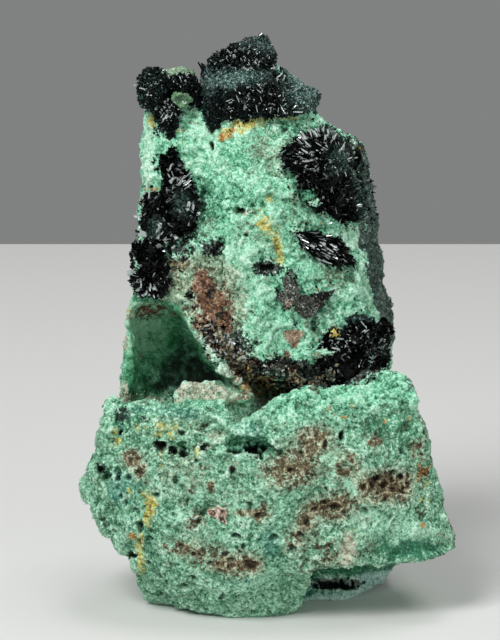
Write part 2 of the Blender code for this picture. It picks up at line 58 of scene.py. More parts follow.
# The view: from a little above the horizon, looking along +Y.
VIEW_RISE = math.radians(12)
VIEW_DISTANCE = 300 * MM
PICTURE_MIDDLE_ACROSS = -1.5 * MM
PICTURE_MIDDLE_UP = 27.8 * MM
LENS = 168.75
SENSOR = 36

# The rock's skin: its first cells, how often it is smoothed, and its final faces.
ROCK_CELL = 0.18 * MM
ROCK_SMOOTHING = 14
ROCK_TRIANGLES = 195000


def srgb(red, green, blue):
    """A screen colour (0 to 255) as linear light."""
    def linear(part):
        part /= 255
        return part / 12.92 if part <= 0.04045 else ((part + 0.055) / 1.055) ** 2.4
    return linear(red), linear(green), linear(blue), 1


def ramp_of(*colours):
    """Screen colours, from the darkest to the palest, as linear light."""
    return [srgb(*colour) for colour in colours]


# Places on the front

def look_direction():
    return Vector((0, math.cos(VIEW_RISE), -math.sin(VIEW_RISE)))


def picture_middle():
    return Vector((PICTURE_MIDDLE_ACROSS, 0, PICTURE_MIDDLE_UP / math.cos(VIEW_RISE)))


def eye():
    return picture_middle() - look_direction() * VIEW_DISTANCE


def picture_point(across, up):
    """The point of the upright picture plane at this many mm right of and above the origin."""
    upward = Vector((0, math.sin(VIEW_RISE), math.cos(VIEW_RISE)))
    sideways = across * MM - PICTURE_MIDDLE_ACROSS
    rise = up * MM - PICTURE_MIDDLE_UP
    return picture_middle() + Vector((sideways, 0, 0)) + upward * rise


def sight(across, up):
    """The direction from the eye to a place of the picture."""
    return (picture_point(across, up) - eye()).normalized()


def seen(across, up, depth):
    """The point at Y = depth (mm) that shows this many mm right of and above the origin."""
    ray = picture_point(across, up) - eye()
    return eye() + ray * ((depth * MM - eye().y) / ray.y)


def as_seen(points):
    """Where points show in the front view: columns across, up and depth, in mm."""
    from_eye = points - np.array(eye())
    forward = np.array(look_direction())
    upward = np.array((0, math.sin(VIEW_RISE), math.cos(VIEW_RISE)))
    near = VIEW_DISTANCE / (from_eye @ forward)
    across = from_eye[:, 0] * near + PICTURE_MIDDLE_ACROSS
    up = (from_eye @ upward) * near + PICTURE_MIDDLE_UP
    return np.column_stack((across, up, points[:, 1])) / MM


# Meshes as arrays

def points_of(mesh):
    found = np.empty(len(mesh.vertices) * 3)
    mesh.vertices.foreach_get("co", found)
    return found.reshape(-1, 3)


def put_points(mesh, points):
    mesh.vertices.foreach_set("co", points.astype(np.float32).ravel())
    mesh.update()


def normals_of(mesh):
    found = np.empty(len(mesh.vertices) * 3)
    mesh.vertex_normals.foreach_get("vector", found)
    return found.reshape(-1, 3)


def mark(mesh, name, values):
    """Stores one number for each vertex under a name that the finishes read."""
    layer = mesh.attributes.get(name) or mesh.attributes.new(name, "FLOAT", "POINT")
    layer.data.foreach_set("value", values.astype(np.float32))


def mark_ways(mesh, name, ways):
    """Stores one direction for each vertex."""
    layer = mesh.attributes.new(name, "FLOAT_VECTOR", "POINT")
    layer.data.foreach_set("vector", ways.astype(np.float32).ravel())


def neighbour_mean(values, pairs, counts):
    """The mean of each vertex's neighbours."""
    total = np.zeros_like(values)
    for column in range(values.shape[1]):
        ends = values[:, column]
        total[:, column] += np.bincount(pairs[:, 0], ends[pairs[:, 1]], len(values))
        total[:, column] += np.bincount(pairs[:, 1], ends[pairs[:, 0]], len(values))
    return total / counts[:, None]


def edge_pairs(mesh):
    pairs = np.empty(len(mesh.edges) * 2, dtype=np.int32)
    mesh.edges.foreach_get("vertices", pairs)
    pairs = pairs.reshape(-1, 2)
    counts = np.bincount(pairs.ravel(), minlength=len(mesh.vertices))
    return pairs, np.maximum(counts, 1)


def softened(points, mesh, rounds, pulls=(0.5,)):
    """The points after this many rounds of pulls towards their neighbours' mean."""
    pairs, counts = edge_pairs(mesh)
    for _ in range(rounds):
        for pull in pulls:
            points = points + (neighbour_mean(points, pairs, counts) - points) * pull
    return points


def hollowness(points, mesh, rounds):
    """How far each vertex lies below its softened surroundings, in mm; negative on ridges."""
    gap = softened(points, mesh, rounds) - points
    return np.einsum("ij,ij->i", gap, normals_of(mesh)) / MM


def field(points, width, kind=noise.noise):
    """One noise value for each point, for features of this width in mm."""
    return np.array([kind(Vector(place)) for place in points / (width * MM)])


def chips(place):
    """0 in the middle of a cell of the noise, rising to its edges."""
    distances, _ = noise.voronoi(place)
    return distances[0]


def pocks(place):
    """1 in the middle of scattered round hollows and 0 round them."""
    distances, spots = noise.voronoi(place)
    if noise.noise(spots[0] * 2.3) < 0.12:
        return 0
    return max(0, 1 - (distances[0] / 0.3) ** 2)


def smooth_step(values, low, high):
    share = np.clip((values - low) / (high - low), 0, 1)
    return share * share * (3 - 2 * share)


def new_object(name, mesh):
    made = bpy.data.objects.new(name, mesh)
    bpy.context.scene.collection.objects.link(made)
    return made


def mesh_from(shape, name):
    """A mesh made of an editable shape, which is let go."""
    mesh = bpy.data.meshes.new(name)
    shape.to_mesh(mesh)
    shape.free()
    return mesh


def evaluated_mesh(source, name):
    """A plain mesh of what the object's modifiers make of it."""
    bpy.context.view_layer.update()
    graph = bpy.context.evaluated_depsgraph_get()
    mesh = bpy.data.meshes.new_from_object(source.evaluated_get(graph))
    mesh.name = name
    return mesh


def reskinned(mesh, cell):
    """A closed skin of small even cells round the mesh."""
    rough = new_object(mesh.name, mesh)
    remesh = rough.modifiers.new("skin", "REMESH")
    remesh.mode = "VOXEL"
    remesh.voxel_size = cell
    skin = evaluated_mesh(rough, mesh.name)
    bpy.data.objects.remove(rough)
    return skin


def node_copy(node, lumps=()):
    """A copy of a frame node's mesh with its corners joined, and with lumps grown onto it."""
    mesh = frame["nodes"][node].data.copy()
    mesh.name = node
    shape = bmesh.new()
    shape.from_mesh(mesh)
    bmesh.ops.remove_doubles(shape, verts=shape.verts, dist=0.001 * MM)
    for across, up, depth, wide, high, deep in lumps:
        size = Matrix.Diagonal((wide * MM, deep * MM, high * MM, 1))
        place = Matrix.Translation(seen(across, up, depth)) @ size
        bmesh.ops.create_icosphere(shape, subdivisions=3, radius=1, matrix=place)
    shape.to_mesh(mesh)
    shape.free()
    mesh.materials.clear()
    return mesh


def tree_of(mesh):
    """A search tree over a mesh's faces."""
    shape = bmesh.new()
    shape.from_mesh(mesh)
    tree = BVHTree.FromBMesh(shape)
    shape.free()
    return tree


# Node trees as Python sums

class Wire:
    """An output socket that takes part in sums. Each operator adds one Math node."""

    def __init__(self, net, socket):
        self.net = net
        self.socket = socket

    def __add__(self, other):
        return self.net.math("ADD", self, other)

    def __radd__(self, other):
        return self.net.math("ADD", other, self)

    def __sub__(self, other):
        return self.net.math("SUBTRACT", self, other)

    def __rsub__(self, other):
        return self.net.math("SUBTRACT", other, self)

    def __mul__(self, other):
        return self.net.math("MULTIPLY", self, other)

    def __rmul__(self, other):
        return self.net.math("MULTIPLY", other, self)


class Net:
    """A node tree that is being built."""

    def __init__(self, tree):
        self.tree = tree

    def node(self, kind, settings=None, inputs=None, out=0):
        """Adds a node. Its settings are set first, then its sockets by name or number."""
        made = self.tree.nodes.new(kind)
        for name, value in (settings or {}).items():
            if name == "stops":
                self.set_stops(made.color_ramp, value)
            else:
                setattr(made, name, value)
        for name, value in (inputs or {}).items():
            if isinstance(value, Wire):
                self.tree.links.new(value.socket, made.inputs[name])
            else:
                made.inputs[name].default_value = value
        return Wire(self, made.outputs[out]) if made.outputs else made

    @staticmethod
    def set_stops(ramp, stops):
        for place, colour in stops[2:]:
            ramp.elements.new(place)
        for element, (place, colour) in zip(ramp.elements, stops):
            element.position = place
            element.color = colour

    def math(self, operation, first, second):
        return self.node("ShaderNodeMath", {"operation": operation}, {0: first, 1: second})

    def step(self, value, low, high):
        """0 below low, 1 above high and smooth between."""
        inputs = {"Value": value, "From Min": low, "From Max": high}
        return self.node("ShaderNodeMapRange", {"interpolation_type": "SMOOTHSTEP"}, inputs)

    def mix(self, share, first, second):
        """Colour first where share is 0 and second where it is 1."""
        settings = {"data_type": "RGBA", "blend_type": "MIX", "clamp_factor": True}
        return self.node("ShaderNodeMix", settings, {0: share, 6: first, 7: second}, out=2)


class Finish(Net):
    """A material on object coordinates, with lengths in mm."""

    def __init__(self, name):
        self.material = bpy.data.materials.new(name)
        self.material.use_nodes = True
        super().__init__(self.material.node_tree)
        self.shader = self.tree.nodes["Principled BSDF"]
        self.place = self.node("ShaderNodeTexCoord", out="Object")

    def attribute(self, name):
        return self.node("ShaderNodeAttribute", {"attribute_name": name}, out="Fac")

    def noise(self, width, detail=2, roughness=0.5, seed=0):
        """Cloudy noise for features of this width in mm, about 0.5 on average."""
        inputs = {"Vector": self.place, "Scale": 1 / (width * MM), "Detail": detail,
                  "Roughness": roughness, "W": seed}
        return self.node("ShaderNodeTexNoise", {"noise_dimensions": "4D"}, inputs)

    def size(self, value):
        """A value without its sign."""
        return self.math("ABSOLUTE", value, 0)

    def cells(self, width, out="Distance"):
        """Distance to the nearest point of a scatter this far apart in mm, or its colour."""
        inputs = {"Vector": self.place, "Scale": 1 / (width * MM)}
        return self.node("ShaderNodeTexVoronoi", {"feature": "F1"}, inputs, out=out)

    def set(self, **sockets):
        """Feeds the shader's sockets; an underscore stands for a space."""
        for name, value in sockets.items():
            socket = self.shader.inputs[name.replace("_", " ")]
            if isinstance(value, Wire):
                self.tree.links.new(value.socket, socket)
            else:
                socket.default_value = value
        return self.material

    def parts(self, vector):
        """The three numbers of a vector."""
        split = self.node("ShaderNodeSeparateXYZ", None, {0: vector}).socket.node
        return [Wire(self, output) for output in split.outputs]

    def dice(self, width):
        """An even chance from 0 to 1 for each grain of this width in mm."""
        colour = self.cells(width, out="Color")
        return self.node("ShaderNodeSeparateColor", None, {0: colour})

    def ramp(self, value, colours):
        """Colours spread evenly over a value from 0 to 1."""
        last = len(colours) - 1
        stops = [(number / last, colour) for number, colour in enumerate(colours)]
        return self.node("ShaderNodeValToRGB", {"stops": stops}, {0: value})

    def relief(self, height, depth):
        """A bumped normal from a height (0 to 1) with its depth in mm."""
        inputs = {"Strength": 1.0, "Distance": depth * MM, "Height": height}
        return self.node("ShaderNodeBump", None, inputs)


# The rock's colours, each ramp from its darkest grains to its palest.

MINT_RAMP = ramp_of((20, 52, 38), (70, 140, 108), (122, 198, 160), (166, 232, 198), (220, 255, 236))
LEAF_RAMP = ramp_of((14, 40, 28), (60, 112, 84), (106, 162, 130), (154, 208, 176), (212, 242, 222))
# The niche's colours run from painted shade deep inside it to painted light on its lip and rim.
NICHE_SHADING_RAMP = ramp_of((4, 18, 10), (16, 66, 40), (54, 132, 88), (112, 182, 140), (176, 226, 194))
# Colours laid on pits as painted shade: dark brown in the umber patches and near-black green elsewhere.
UMBER = srgb(62, 36, 28)
PIT_SHADE_GREEN = srgb(12, 26, 19)
PORE = srgb(16, 38, 28)

# Some patches of these stains stand for light and shade rather than the rock's own colour: painted
# shade, painted shadow and painted highlights, as the patch lists below say.
STAINS = {
    "deep": ramp_of((12, 44, 28), (40, 104, 74), (76, 146, 112), (126, 190, 158)),
    "sage": ramp_of((34, 54, 40), (100, 126, 100), (156, 184, 154), (214, 230, 204)),
    "pale": ramp_of((64, 124, 94), (146, 206, 172), (194, 240, 212), (238, 255, 246)),
    "teal": ramp_of((22, 70, 58), (62, 126, 106), (108, 170, 146), (178, 222, 202)),
    "ice": ramp_of((60, 100, 94), (134, 178, 168), (182, 218, 208), (226, 246, 238)),
    "flank": ramp_of((12, 22, 19), (44, 62, 55), (78, 100, 90), (136, 160, 148)),
    "chalk": ramp_of((92, 90, 72), (156, 158, 134), (196, 204, 180), (236, 238, 220)),
    "ochre": ramp_of((98, 100, 50), (176, 172, 90), (222, 214, 126), (248, 242, 180)),
    "amber": ramp_of((84, 58, 26), (152, 110, 54), (198, 156, 88), (238, 212, 156)),
    "rust": ramp_of((32, 20, 16), (88, 56, 44), (138, 102, 80), (198, 180, 150)),
    "tan": ramp_of((62, 46, 38), (128, 106, 88), (172, 150, 126), (216, 200, 178)),
    "umber": ramp_of((26, 20, 14), (80, 68, 48), (130, 120, 90), (196, 192, 160)),
    "soot": ramp_of((4, 7, 6), (18, 24, 21), (54, 66, 60), (140, 156, 146)),
}

# How softly each stain blends into the grains round it.
SOFTNESS = {"soot": 0.16, "umber": 0.22, "rust": 0.26, "tan": 0.22, "flank": 0.3}

# Patches of the rock's front: middle across and up, and half sizes across and up, in mm as seen,
# with the share of the grains that they colour.
PATCHES = {
    # Pale patches: the rock's paler green, and painted highlights and light along the lit right rim of
    # the niche, the lit left edge of the upper face, the ledge's lit top edge and low on the ledge.
    "pale": [
        (-11.8, 46.6, 1.0, 2.2, 0.8), (-11.9, 43.4, 0.9, 2.6, 0.9), (-6.6, 46.6, 1.6, 1.2, 0.6),
        (-5.2, 43.4, 1.6, 2.4, 0.35), (-0.4, 42.2, 1.6, 2.2, 0.35), (1.6, 43.4, 0.8, 0.8, 0.7),
        (-2.4, 34.4, 2.2, 1.6, 0.6), (-1.0, 31.4, 2.0, 1.6, 0.5), (0.4, 28.4, 1.8, 2.6, 0.3),
        (1.2, 26.0, 1.2, 1.6, 0.4), (8.6, 36.2, 1.2, 1.4, 0.8), (9.8, 31.6, 0.6, 3.4, 0.6),
        (7.6, 30.2, 1.4, 1.6, 0.3), (-5.0, 16.0, 1.4, 0.7, 0.8), (-1.4, 18.6, 1.6, 0.8, 0.4),
        (-1.8, 14.2, 1.4, 0.4, 0.6), (8.0, 17.8, 2.4, 1.4, 0.15), (-8.6, 11.4, 1.8, 1.6, 0.35),
        (12.6, 8.0, 3.0, 1.4, 0.5), (15.0, 6.6, 2.0, 1.0, 0.5), (-4.4, 1.0, 3.0, 0.9, 0.5),
        (-0.6, 1.4, 2.4, 1.4, 0.4), (9.6, 7.4, 2.0, 1.2, 0.4), (-12.6, 24.6, 0.7, 2.6, 0.4),
        (0.6, 6.2, 1.2, 1.4, 0.4), (-6.7, 28.2, 0.45, 1.1, 0.9), (-6.0, 26.3, 0.45, 1.2, 0.95),
        (-5.3, 24.6, 0.5, 0.8, 0.95), (-4.5, 23.5, 0.6, 0.55, 0.95), (-3.5, 22.6, 0.6, 0.55, 0.95),
        (-2.5, 21.6, 0.6, 0.55, 0.9), (0.8, 37.0, 1.4, 1.8, 0.5), (9.4, 36.0, 0.35, 1.0, 0.9),
        (9.9, 33.6, 0.35, 1.4, 0.9), (10.5, 31.0, 0.35, 1.6, 0.9), (11.2, 28.6, 0.35, 1.2, 0.8),
        (-7.2, 43.6, 1.2, 1.6, 0.5),
    ],
    # Duller sage patches: the rock's own duller green, and across the ledge's top painted shade.
    "sage": [
        (1.0, 44.8, 3.0, 2.6, 0.56), (-6.2, 32.8, 3.4, 2.2, 0.75), (-3.2, 30.2, 1.8, 3.0, 0.7),
        (-1.0, 27.0, 2.2, 2.4, 0.4), (-1.2, 36.2, 2.6, 2.0, 0.48), (3.4, 37.0, 2.6, 3.4, 0.32),
        (7.4, 32.0, 2.4, 2.6, 0.48), (5.6, 27.8, 2.0, 1.4, 0.4), (-8.4, 17.6, 5.0, 2.0, 0.5),
        (-8.2, 12.6, 3.4, 2.6, 0.55), (3.6, 14.6, 4.0, 2.4, 0.4), (8.4, 5.0, 1.8, 2.4, 0.56),
        (12.0, 13.8, 4.0, 2.0, 0.32), (-3.0, 9.8, 2.8, 1.6, 0.45), (12.4, 17.6, 3.6, 2.8, 0.35),
        (-4.4, 2.0, 4.0, 2.4, 0.35), (1.6, 40.6, 2.4, 2.4, 0.3), (-8.6, 32.0, 1.6, 2.2, 0.7),
        (-9.2, 30.2, 2.0, 0.8, 0.6), (4.6, 19.0, 3.0, 0.9, 0.3),
    ],
    # Rust-brown patches; the two broad low ones at (-10.6, 28.8) and (-12.0, 28.5) darken the band over
    # the niche as painted shadow of the crystals above.
    "rust": [
        (-6.3, 32.0, 0.9, 1.0, 0.75), (-7.2, 31.2, 0.6, 0.5, 0.5), (-6.9, 29.2, 0.5, 0.5, 0.5),
        (-4.0, 30.2, 0.7, 0.9, 0.45), (-3.4, 28.8, 0.6, 1.2, 0.5), (-3.8, 31.6, 0.8, 0.6, 0.35),
        (-6.1, 31.0, 1.0, 1.0, 0.95), (-5.5, 29.9, 1.2, 1.1, 0.85), (-5.0, 28.7, 0.9, 1.2, 0.9),
        (-4.4, 27.6, 1.0, 1.1, 0.75), (-4.2, 26.4, 0.7, 1.0, 0.7), (-6.5, 27.8, 0.7, 0.9, 0.8),
        (-8.4, 33.0, 1.8, 0.9, 0.4), (-10.6, 28.8, 2.4, 0.7, 0.4), (-12.0, 28.5, 1.6, 0.9, 0.36),
        (-10.7, 37.4, 0.5, 0.9, 0.5), (-3.7, 25.8, 1.3, 1.6, 0.5), (-2.6, 23.6, 1.4, 1.8, 0.6),
        (0.4, 22.0, 3.4, 1.2, 0.6), (-1.4, 21.2, 2.0, 1.2, 0.7), (1.6, 33.0, 1.0, 0.5, 0.4),
        (-2.0, 38.6, 0.9, 0.3, 0.5), (12.0, 11.3, 1.8, 0.8, 0.42), (6.9, 9.1, 1.3, 0.8, 0.4),
    ],
    "tan": [
        (2.9, 26.5, 1.05, 0.34, 1.0), (2.9, 26.1, 0.85, 0.34, 1.0), (2.9, 25.7, 0.6, 0.34, 1.0),
        (2.9, 25.3, 0.35, 0.3, 1.0), (2.25, 29.45, 0.42, 0.5, 0.9), (2.2, 24.3, 0.35, 0.35, 0.9),
        (5.2, 21.7, 0.6, 0.55, 0.6), (-8.3, 47.0, 0.5, 0.45, 0.4), (-7.0, 47.6, 0.6, 0.5, 0.35),
        (-2.2, 38.6, 0.8, 0.3, 0.4), (-2.0, 20.2, 1.0, 0.5, 0.6), (0.8, 20.4, 1.6, 0.5, 0.5),
    ],
    "umber": [
        (5.1, 15.6, 1.6, 1.3, 0.68), (3.2, 13.8, 2.0, 1.2, 0.6), (2.6, 12.2, 2.4, 1.2, 0.52),
        (8.4, 13.1, 1.4, 1.4, 0.62), (10.9, 15.6, 0.9, 0.7, 0.6), (15.2, 14.9, 0.7, 0.9, 0.6),
        (10.2, 11.2, 0.9, 0.9, 0.75), (12.0, 11.4, 1.3, 1.3, 0.75), (13.9, 11.3, 0.9, 1.4, 0.66),
        (12.0, 9.8, 2.6, 0.7, 0.33), (7.0, 9.0, 1.5, 1.2, 0.7), (5.0, 8.9, 0.9, 0.7, 0.66),
        (4.1, 7.6, 1.0, 1.3, 0.66), (2.9, 5.6, 0.9, 1.2, 0.57), (6.2, 4.7, 1.2, 1.2, 0.49),
        (4.6, 3.0, 1.4, 0.8, 0.33), (-1.4, 3.3, 1.1, 0.9, 0.78), (-3.6, 3.3, 1.4, 0.9, 0.66),
        (-6.2, 3.2, 1.4, 0.6, 0.41), (-0.3, 8.4, 0.9, 1.0, 0.57), (-1.9, 8.5, 1.1, 0.4, 0.66),
        (-7.0, 7.6, 1.1, 1.0, 0.57), (-8.6, 5.1, 1.9, 0.8, 0.49), (-5.6, 4.6, 2.4, 0.7, 0.49),
        (-13.5, 14.0, 0.8, 0.8, 0.7), (-12.6, 12.9, 0.7, 1.0, 0.7), (-5.4, 11.2, 0.5, 0.6, 0.66),
        (-7.2, 10.8, 0.5, 0.5, 0.49), (-6.4, 12.6, 0.5, 0.4, 0.49), (-3.2, 13.2, 0.4, 0.4, 0.57),
        (-10.0, 14.6, 2.4, 0.6, 0.33), (-6.0, 15.4, 1.4, 0.8, 0.33), (0.4, 17.4, 1.0, 0.6, 0.25),
        (15.6, 12.8, 0.9, 1.0, 0.33), (16.0, 8.4, 0.9, 0.8, 0.33), (-8.4, 33.5, 1.4, 0.9, 0.5),
        (-7.8, 31.4, 0.8, 1.4, 0.35), (-7.6, 28.8, 0.7, 0.8, 0.5), (-3.6, 28.6, 0.8, 2.6, 0.3),
        (-5.4, 32.6, 1.2, 0.9, 0.4), (4.4, 16.6, 2.6, 0.9, 0.25), (0.8, 12.6, 1.4, 1.8, 0.25),
        (9.4, 9.6, 2.4, 1.2, 0.25),
    ],
    "amber": [
        (-4.3, 46.0, 0.55, 0.4, 0.8), (-3.7, 46.4, 0.6, 0.4, 0.75), (-3.0, 46.9, 0.6, 0.4, 0.55),
        (-2.8, 47.7, 1.0, 0.5, 0.35), (-13.3, 6.2, 0.35, 0.35, 1.0), (-4.7, 29.0, 1.0, 2.2, 0.22),
        (15.8, 7.2, 0.4, 0.35, 0.75), (8.4, 6.7, 0.35, 0.25, 0.5), (15.9, 12.7, 0.5, 0.45, 0.5),
        (15.7, 12.3, 0.8, 1.2, 0.35), (7.9, 18.1, 0.4, 0.2, 0.65), (8.7, 19.3, 0.25, 0.4, 0.5),
        (6.5, 19.0, 0.4, 0.3, 0.5), (14.3, 17.9, 0.35, 0.3, 0.5), (12.0, 17.8, 0.35, 0.3, 0.5),
        (0.8, 21.2, 2.4, 0.8, 0.5), (-2.0, 21.3, 0.7, 0.6, 0.7), (-8.7, 33.4, 1.2, 0.35, 0.55),
        (-11.3, 40.9, 1.0, 0.25, 0.6), (-13.6, 28.8, 0.6, 0.5, 0.4), (0.6, 39.8, 0.4, 0.4, 0.3),
    ],
    "ochre": [
        (-4.0, 46.6, 1.0, 0.6, 0.41), (-2.6, 47.4, 1.2, 0.8, 0.51), (-0.9, 48.0, 1.3, 0.8, 0.5),
        (-1.8, 47.0, 1.2, 0.7, 0.35), (0.3, 47.5, 1.0, 0.6, 0.3), (2.2, 47.7, 1.2, 0.5, 0.2),
        (1.0, 48.5, 1.3, 0.6, 0.45), (-3.0, 46.4, 1.2, 0.6, 0.31), (2.4, 48.2, 1.2, 0.5, 0.3),
        (-11.2, 47.7, 0.5, 0.9, 0.58), (-8.9, 46.8, 0.7, 0.6, 0.41), (-8.4, 45.4, 0.5, 0.5, 0.34),
        (-0.4, 38.2, 0.8, 1.1, 0.41), (0.4, 36.9, 1.2, 0.9, 0.42), (-0.3, 37.4, 1.0, 0.6, 0.34),
        (0.6, 39.8, 0.55, 0.55, 0.54), (1.2, 35.6, 0.5, 0.8, 0.54), (1.5, 34.2, 0.5, 1.3, 0.68),
        (5.4, 37.8, 0.6, 0.8, 0.27), (-10.2, 16.9, 1.5, 0.8, 0.38), (-9.4, 16.2, 0.6, 0.5, 0.42),
        (-8.0, 17.4, 1.8, 0.5, 0.27), (-12.6, 17.2, 1.0, 0.5, 0.34), (-14.9, 15.6, 0.7, 0.5, 0.54),
        (-15.0, 16.7, 0.4, 0.4, 0.54), (-10.3, 14.6, 0.4, 0.6, 0.48), (-10.4, 13.2, 0.9, 0.6, 0.27),
        (-6.8, 14.6, 0.4, 0.6, 0.58), (-13.4, 10.6, 0.6, 0.6, 0.41), (-12.0, 10.4, 0.5, 0.5, 0.48),
        (-11.3, 9.3, 0.65, 1.0, 0.7), (-11.8, 7.9, 0.45, 0.9, 0.65), (-12.6, 5.4, 0.5, 1.2, 0.65),
        (-12.3, 3.2, 0.5, 1.3, 0.58), (16.2, 11.4, 0.5, 0.6, 0.41), (16.1, 9.8, 0.8, 0.6, 0.48),
        (8.6, 6.8, 0.5, 0.4, 0.41), (5.2, 30.6, 0.6, 0.5, 0.41), (6.0, 32.4, 1.0, 1.0, 0.24),
        (7.0, 26.6, 0.7, 0.6, 0.8), (4.8, 6.6, 1.0, 0.5, 0.2),
    ],
    # Black patches: black crusts and crystals, and painted shadow in the crevice under the right foot
    # and under the crown's overhang.
    "soot": [
        (7.2, 1.4, 2.6, 0.6, 1.0), (0.2, 33.0, 1.5, 0.7, 0.9), (2.4, 31.0, 0.9, 2.0, 0.6),
        (4.2, 29.2, 1.3, 0.9, 0.7), (-5.2, 35.0, 1.1, 0.9, 0.8), (-7.5, 30.2, 0.5, 0.5, 0.8),
        (-5.5, 30.6, 0.5, 0.7, 0.45), (-4.4, 27.9, 0.6, 1.3, 0.5), (-5.1, 29.9, 0.4, 1.4, 0.35),
        (2.2, 47.2, 1.8, 0.8, 0.3), (-8.4, 34.2, 1.6, 0.8, 0.35), (7.6, 44.0, 2.2, 3.6, 0.7),
        (8.2, 39.6, 2.4, 2.0, 0.8), (3.2, 43.9, 1.6, 1.2, 0.8), (1.4, 48.9, 3.8, 0.4, 0.8),
        (2.9, 44.6, 1.0, 0.9, 0.4), (-2.8, 25.4, 1.3, 1.4, 0.8), (1.6, 23.0, 2.8, 1.0, 0.9),
        (5.0, 22.2, 2.4, 1.2, 0.9), (-14.4, 18.4, 1.2, 1.0, 0.2), (-12.2, 17.8, 0.8, 0.5, 0.4),
        (9.2, 24.2, 3.6, 2.8, 1.0), (8.0, 22.4, 3.0, 1.4, 1.0), (12.0, 25.0, 1.2, 2.2, 0.7),
        (-8.6, 35.6, 2.2, 1.6, 0.6), (-10.0, 46.6, 1.2, 0.9, 0.5), (-15.4, 5.8, 0.8, 0.4, 0.5),
        (-16.4, 13.0, 0.9, 0.7, 0.5),
    ],
    # Dark patches of the right side: its own darker colour and painted shade.
    "flank": [
        (10.0, 44.0, 1.3, 3.0, 1.0), (9.2, 46.2, 1.4, 0.9, 1.0), (10.5, 40.6, 1.2, 3.2, 1.0),
        (11.0, 37.6, 1.0, 2.4, 1.0), (7.2, 47.6, 1.2, 0.6, 0.6), (-14.3, 18.4, 1.1, 0.9, 0.6),
        (-16.0, 7.4, 0.8, 0.6, 0.4),
    ],
    "chalk": [
        (-14.1, 20.6, 0.5, 1.4, 0.6), (-14.0, 25.6, 0.4, 1.0, 0.6), (-12.5, 24.2, 0.4, 0.4, 0.5),
        (-13.2, 28.2, 0.9, 0.6, 0.5), (-9.6, 28.6, 1.6, 0.6, 0.4), (-6.6, 20.8, 2.6, 0.9, 0.9),
        (-4.4, 20.4, 1.6, 0.7, 0.6), (-14.2, 20.0, 0.9, 0.35, 0.9), (-11.3, 19.9, 1.6, 0.25, 0.8),
        (-8.9, 19.7, 1.0, 0.25, 0.7), (-3.2, 19.4, 0.8, 0.8, 0.5), (-2.2, 24.4, 0.4, 0.4, 0.9),
        (8.4, 5.0, 0.8, 1.5, 0.75), (7.6, 3.8, 0.9, 0.7, 0.5), (9.8, 7.8, 1.3, 0.8, 0.4),
        (-5.6, 46.6, 1.0, 1.0, 0.3), (1.6, 43.6, 1.0, 1.0, 0.4), (0.2, 19.6, 2.4, 0.45, 0.6),
        (9.2, 21.6, 1.6, 0.5, 0.5), (-6.6, 27.0, 0.4, 1.4, 0.7), (-5.6, 24.6, 0.4, 1.2, 0.6),
        (14.4, 19.0, 1.6, 1.0, 0.25), (-4.8, 16.2, 1.2, 0.6, 0.5),
    ],
    "ice": [
        (6.6, -0.2, 2.8, 0.7, 0.9), (10.4, 1.2, 2.2, 1.2, 1.0), (12.0, 1.8, 1.2, 0.9, 1.0),
    ],
    "teal": [
        (-11.0, 18.8, 3.4, 0.8, 0.5), (-7.0, 18.2, 2.6, 0.8, 0.4), (-1.6, 16.8, 2.4, 0.9, 0.5),
        (2.4, 18.6, 3.4, 1.0, 0.3), (0.5, 5.2, 1.0, 1.2, 0.7), (-14.4, 11.0, 2.0, 2.0, 0.6),
        (6.0, 0.8, 4.6, 1.4, 0.6), (-0.6, 7.0, 1.6, 1.2, 0.3), (-2.6, 1.4, 2.4, 1.0, 0.3),
    ],
    # Darker green patches: partly the rock's own, partly painted shade: the crystals' shadow over the
    # niche, the shaded sides of scarps, the shadow under the right foot's bevel and the ledge's top.
    "deep": [
        (14.0, 4.9, 3.6, 1.4, 0.75), (9.0, 2.8, 5.0, 0.6, 0.9), (-11.0, 30.2, 3.4, 0.9, 0.95),
        (-7.6, 29.2, 1.4, 0.8, 0.6), (-5.8, 41.3, 0.7, 1.0, 0.6), (-4.8, 43.2, 0.5, 1.2, 0.3),
        (-9.0, 17.8, 2.8, 0.6, 0.5), (-2.8, 17.6, 1.4, 0.9, 0.5), (5.0, 27.0, 0.6, 2.2, 0.7),
        (6.6, 28.9, 1.3, 1.1, 0.55), (6.0, 46.2, 1.6, 1.4, 0.7), (8.6, 47.2, 1.6, 1.6, 0.7),
        (-5.8, 39.0, 1.4, 2.4, 0.65), (-9.2, 15.0, 3.4, 1.0, 0.5), (-1.6, 15.3, 3.0, 1.4, 0.7),
        (-13.8, 17.8, 1.8, 1.3, 0.6), (12.6, 16.8, 3.0, 3.0, 0.65), (-15.0, 6.6, 1.6, 1.6, 0.4),
        (5.6, 19.4, 3.6, 1.2, 0.45), (4.6, 16.4, 3.4, 1.6, 0.35), (1.8, 47.0, 2.6, 1.0, 0.6),
        (-5.4, 15.0, 1.0, 1.0, 0.4), (5.2, 14.6, 3.4, 2.4, 0.25),
    ],
}

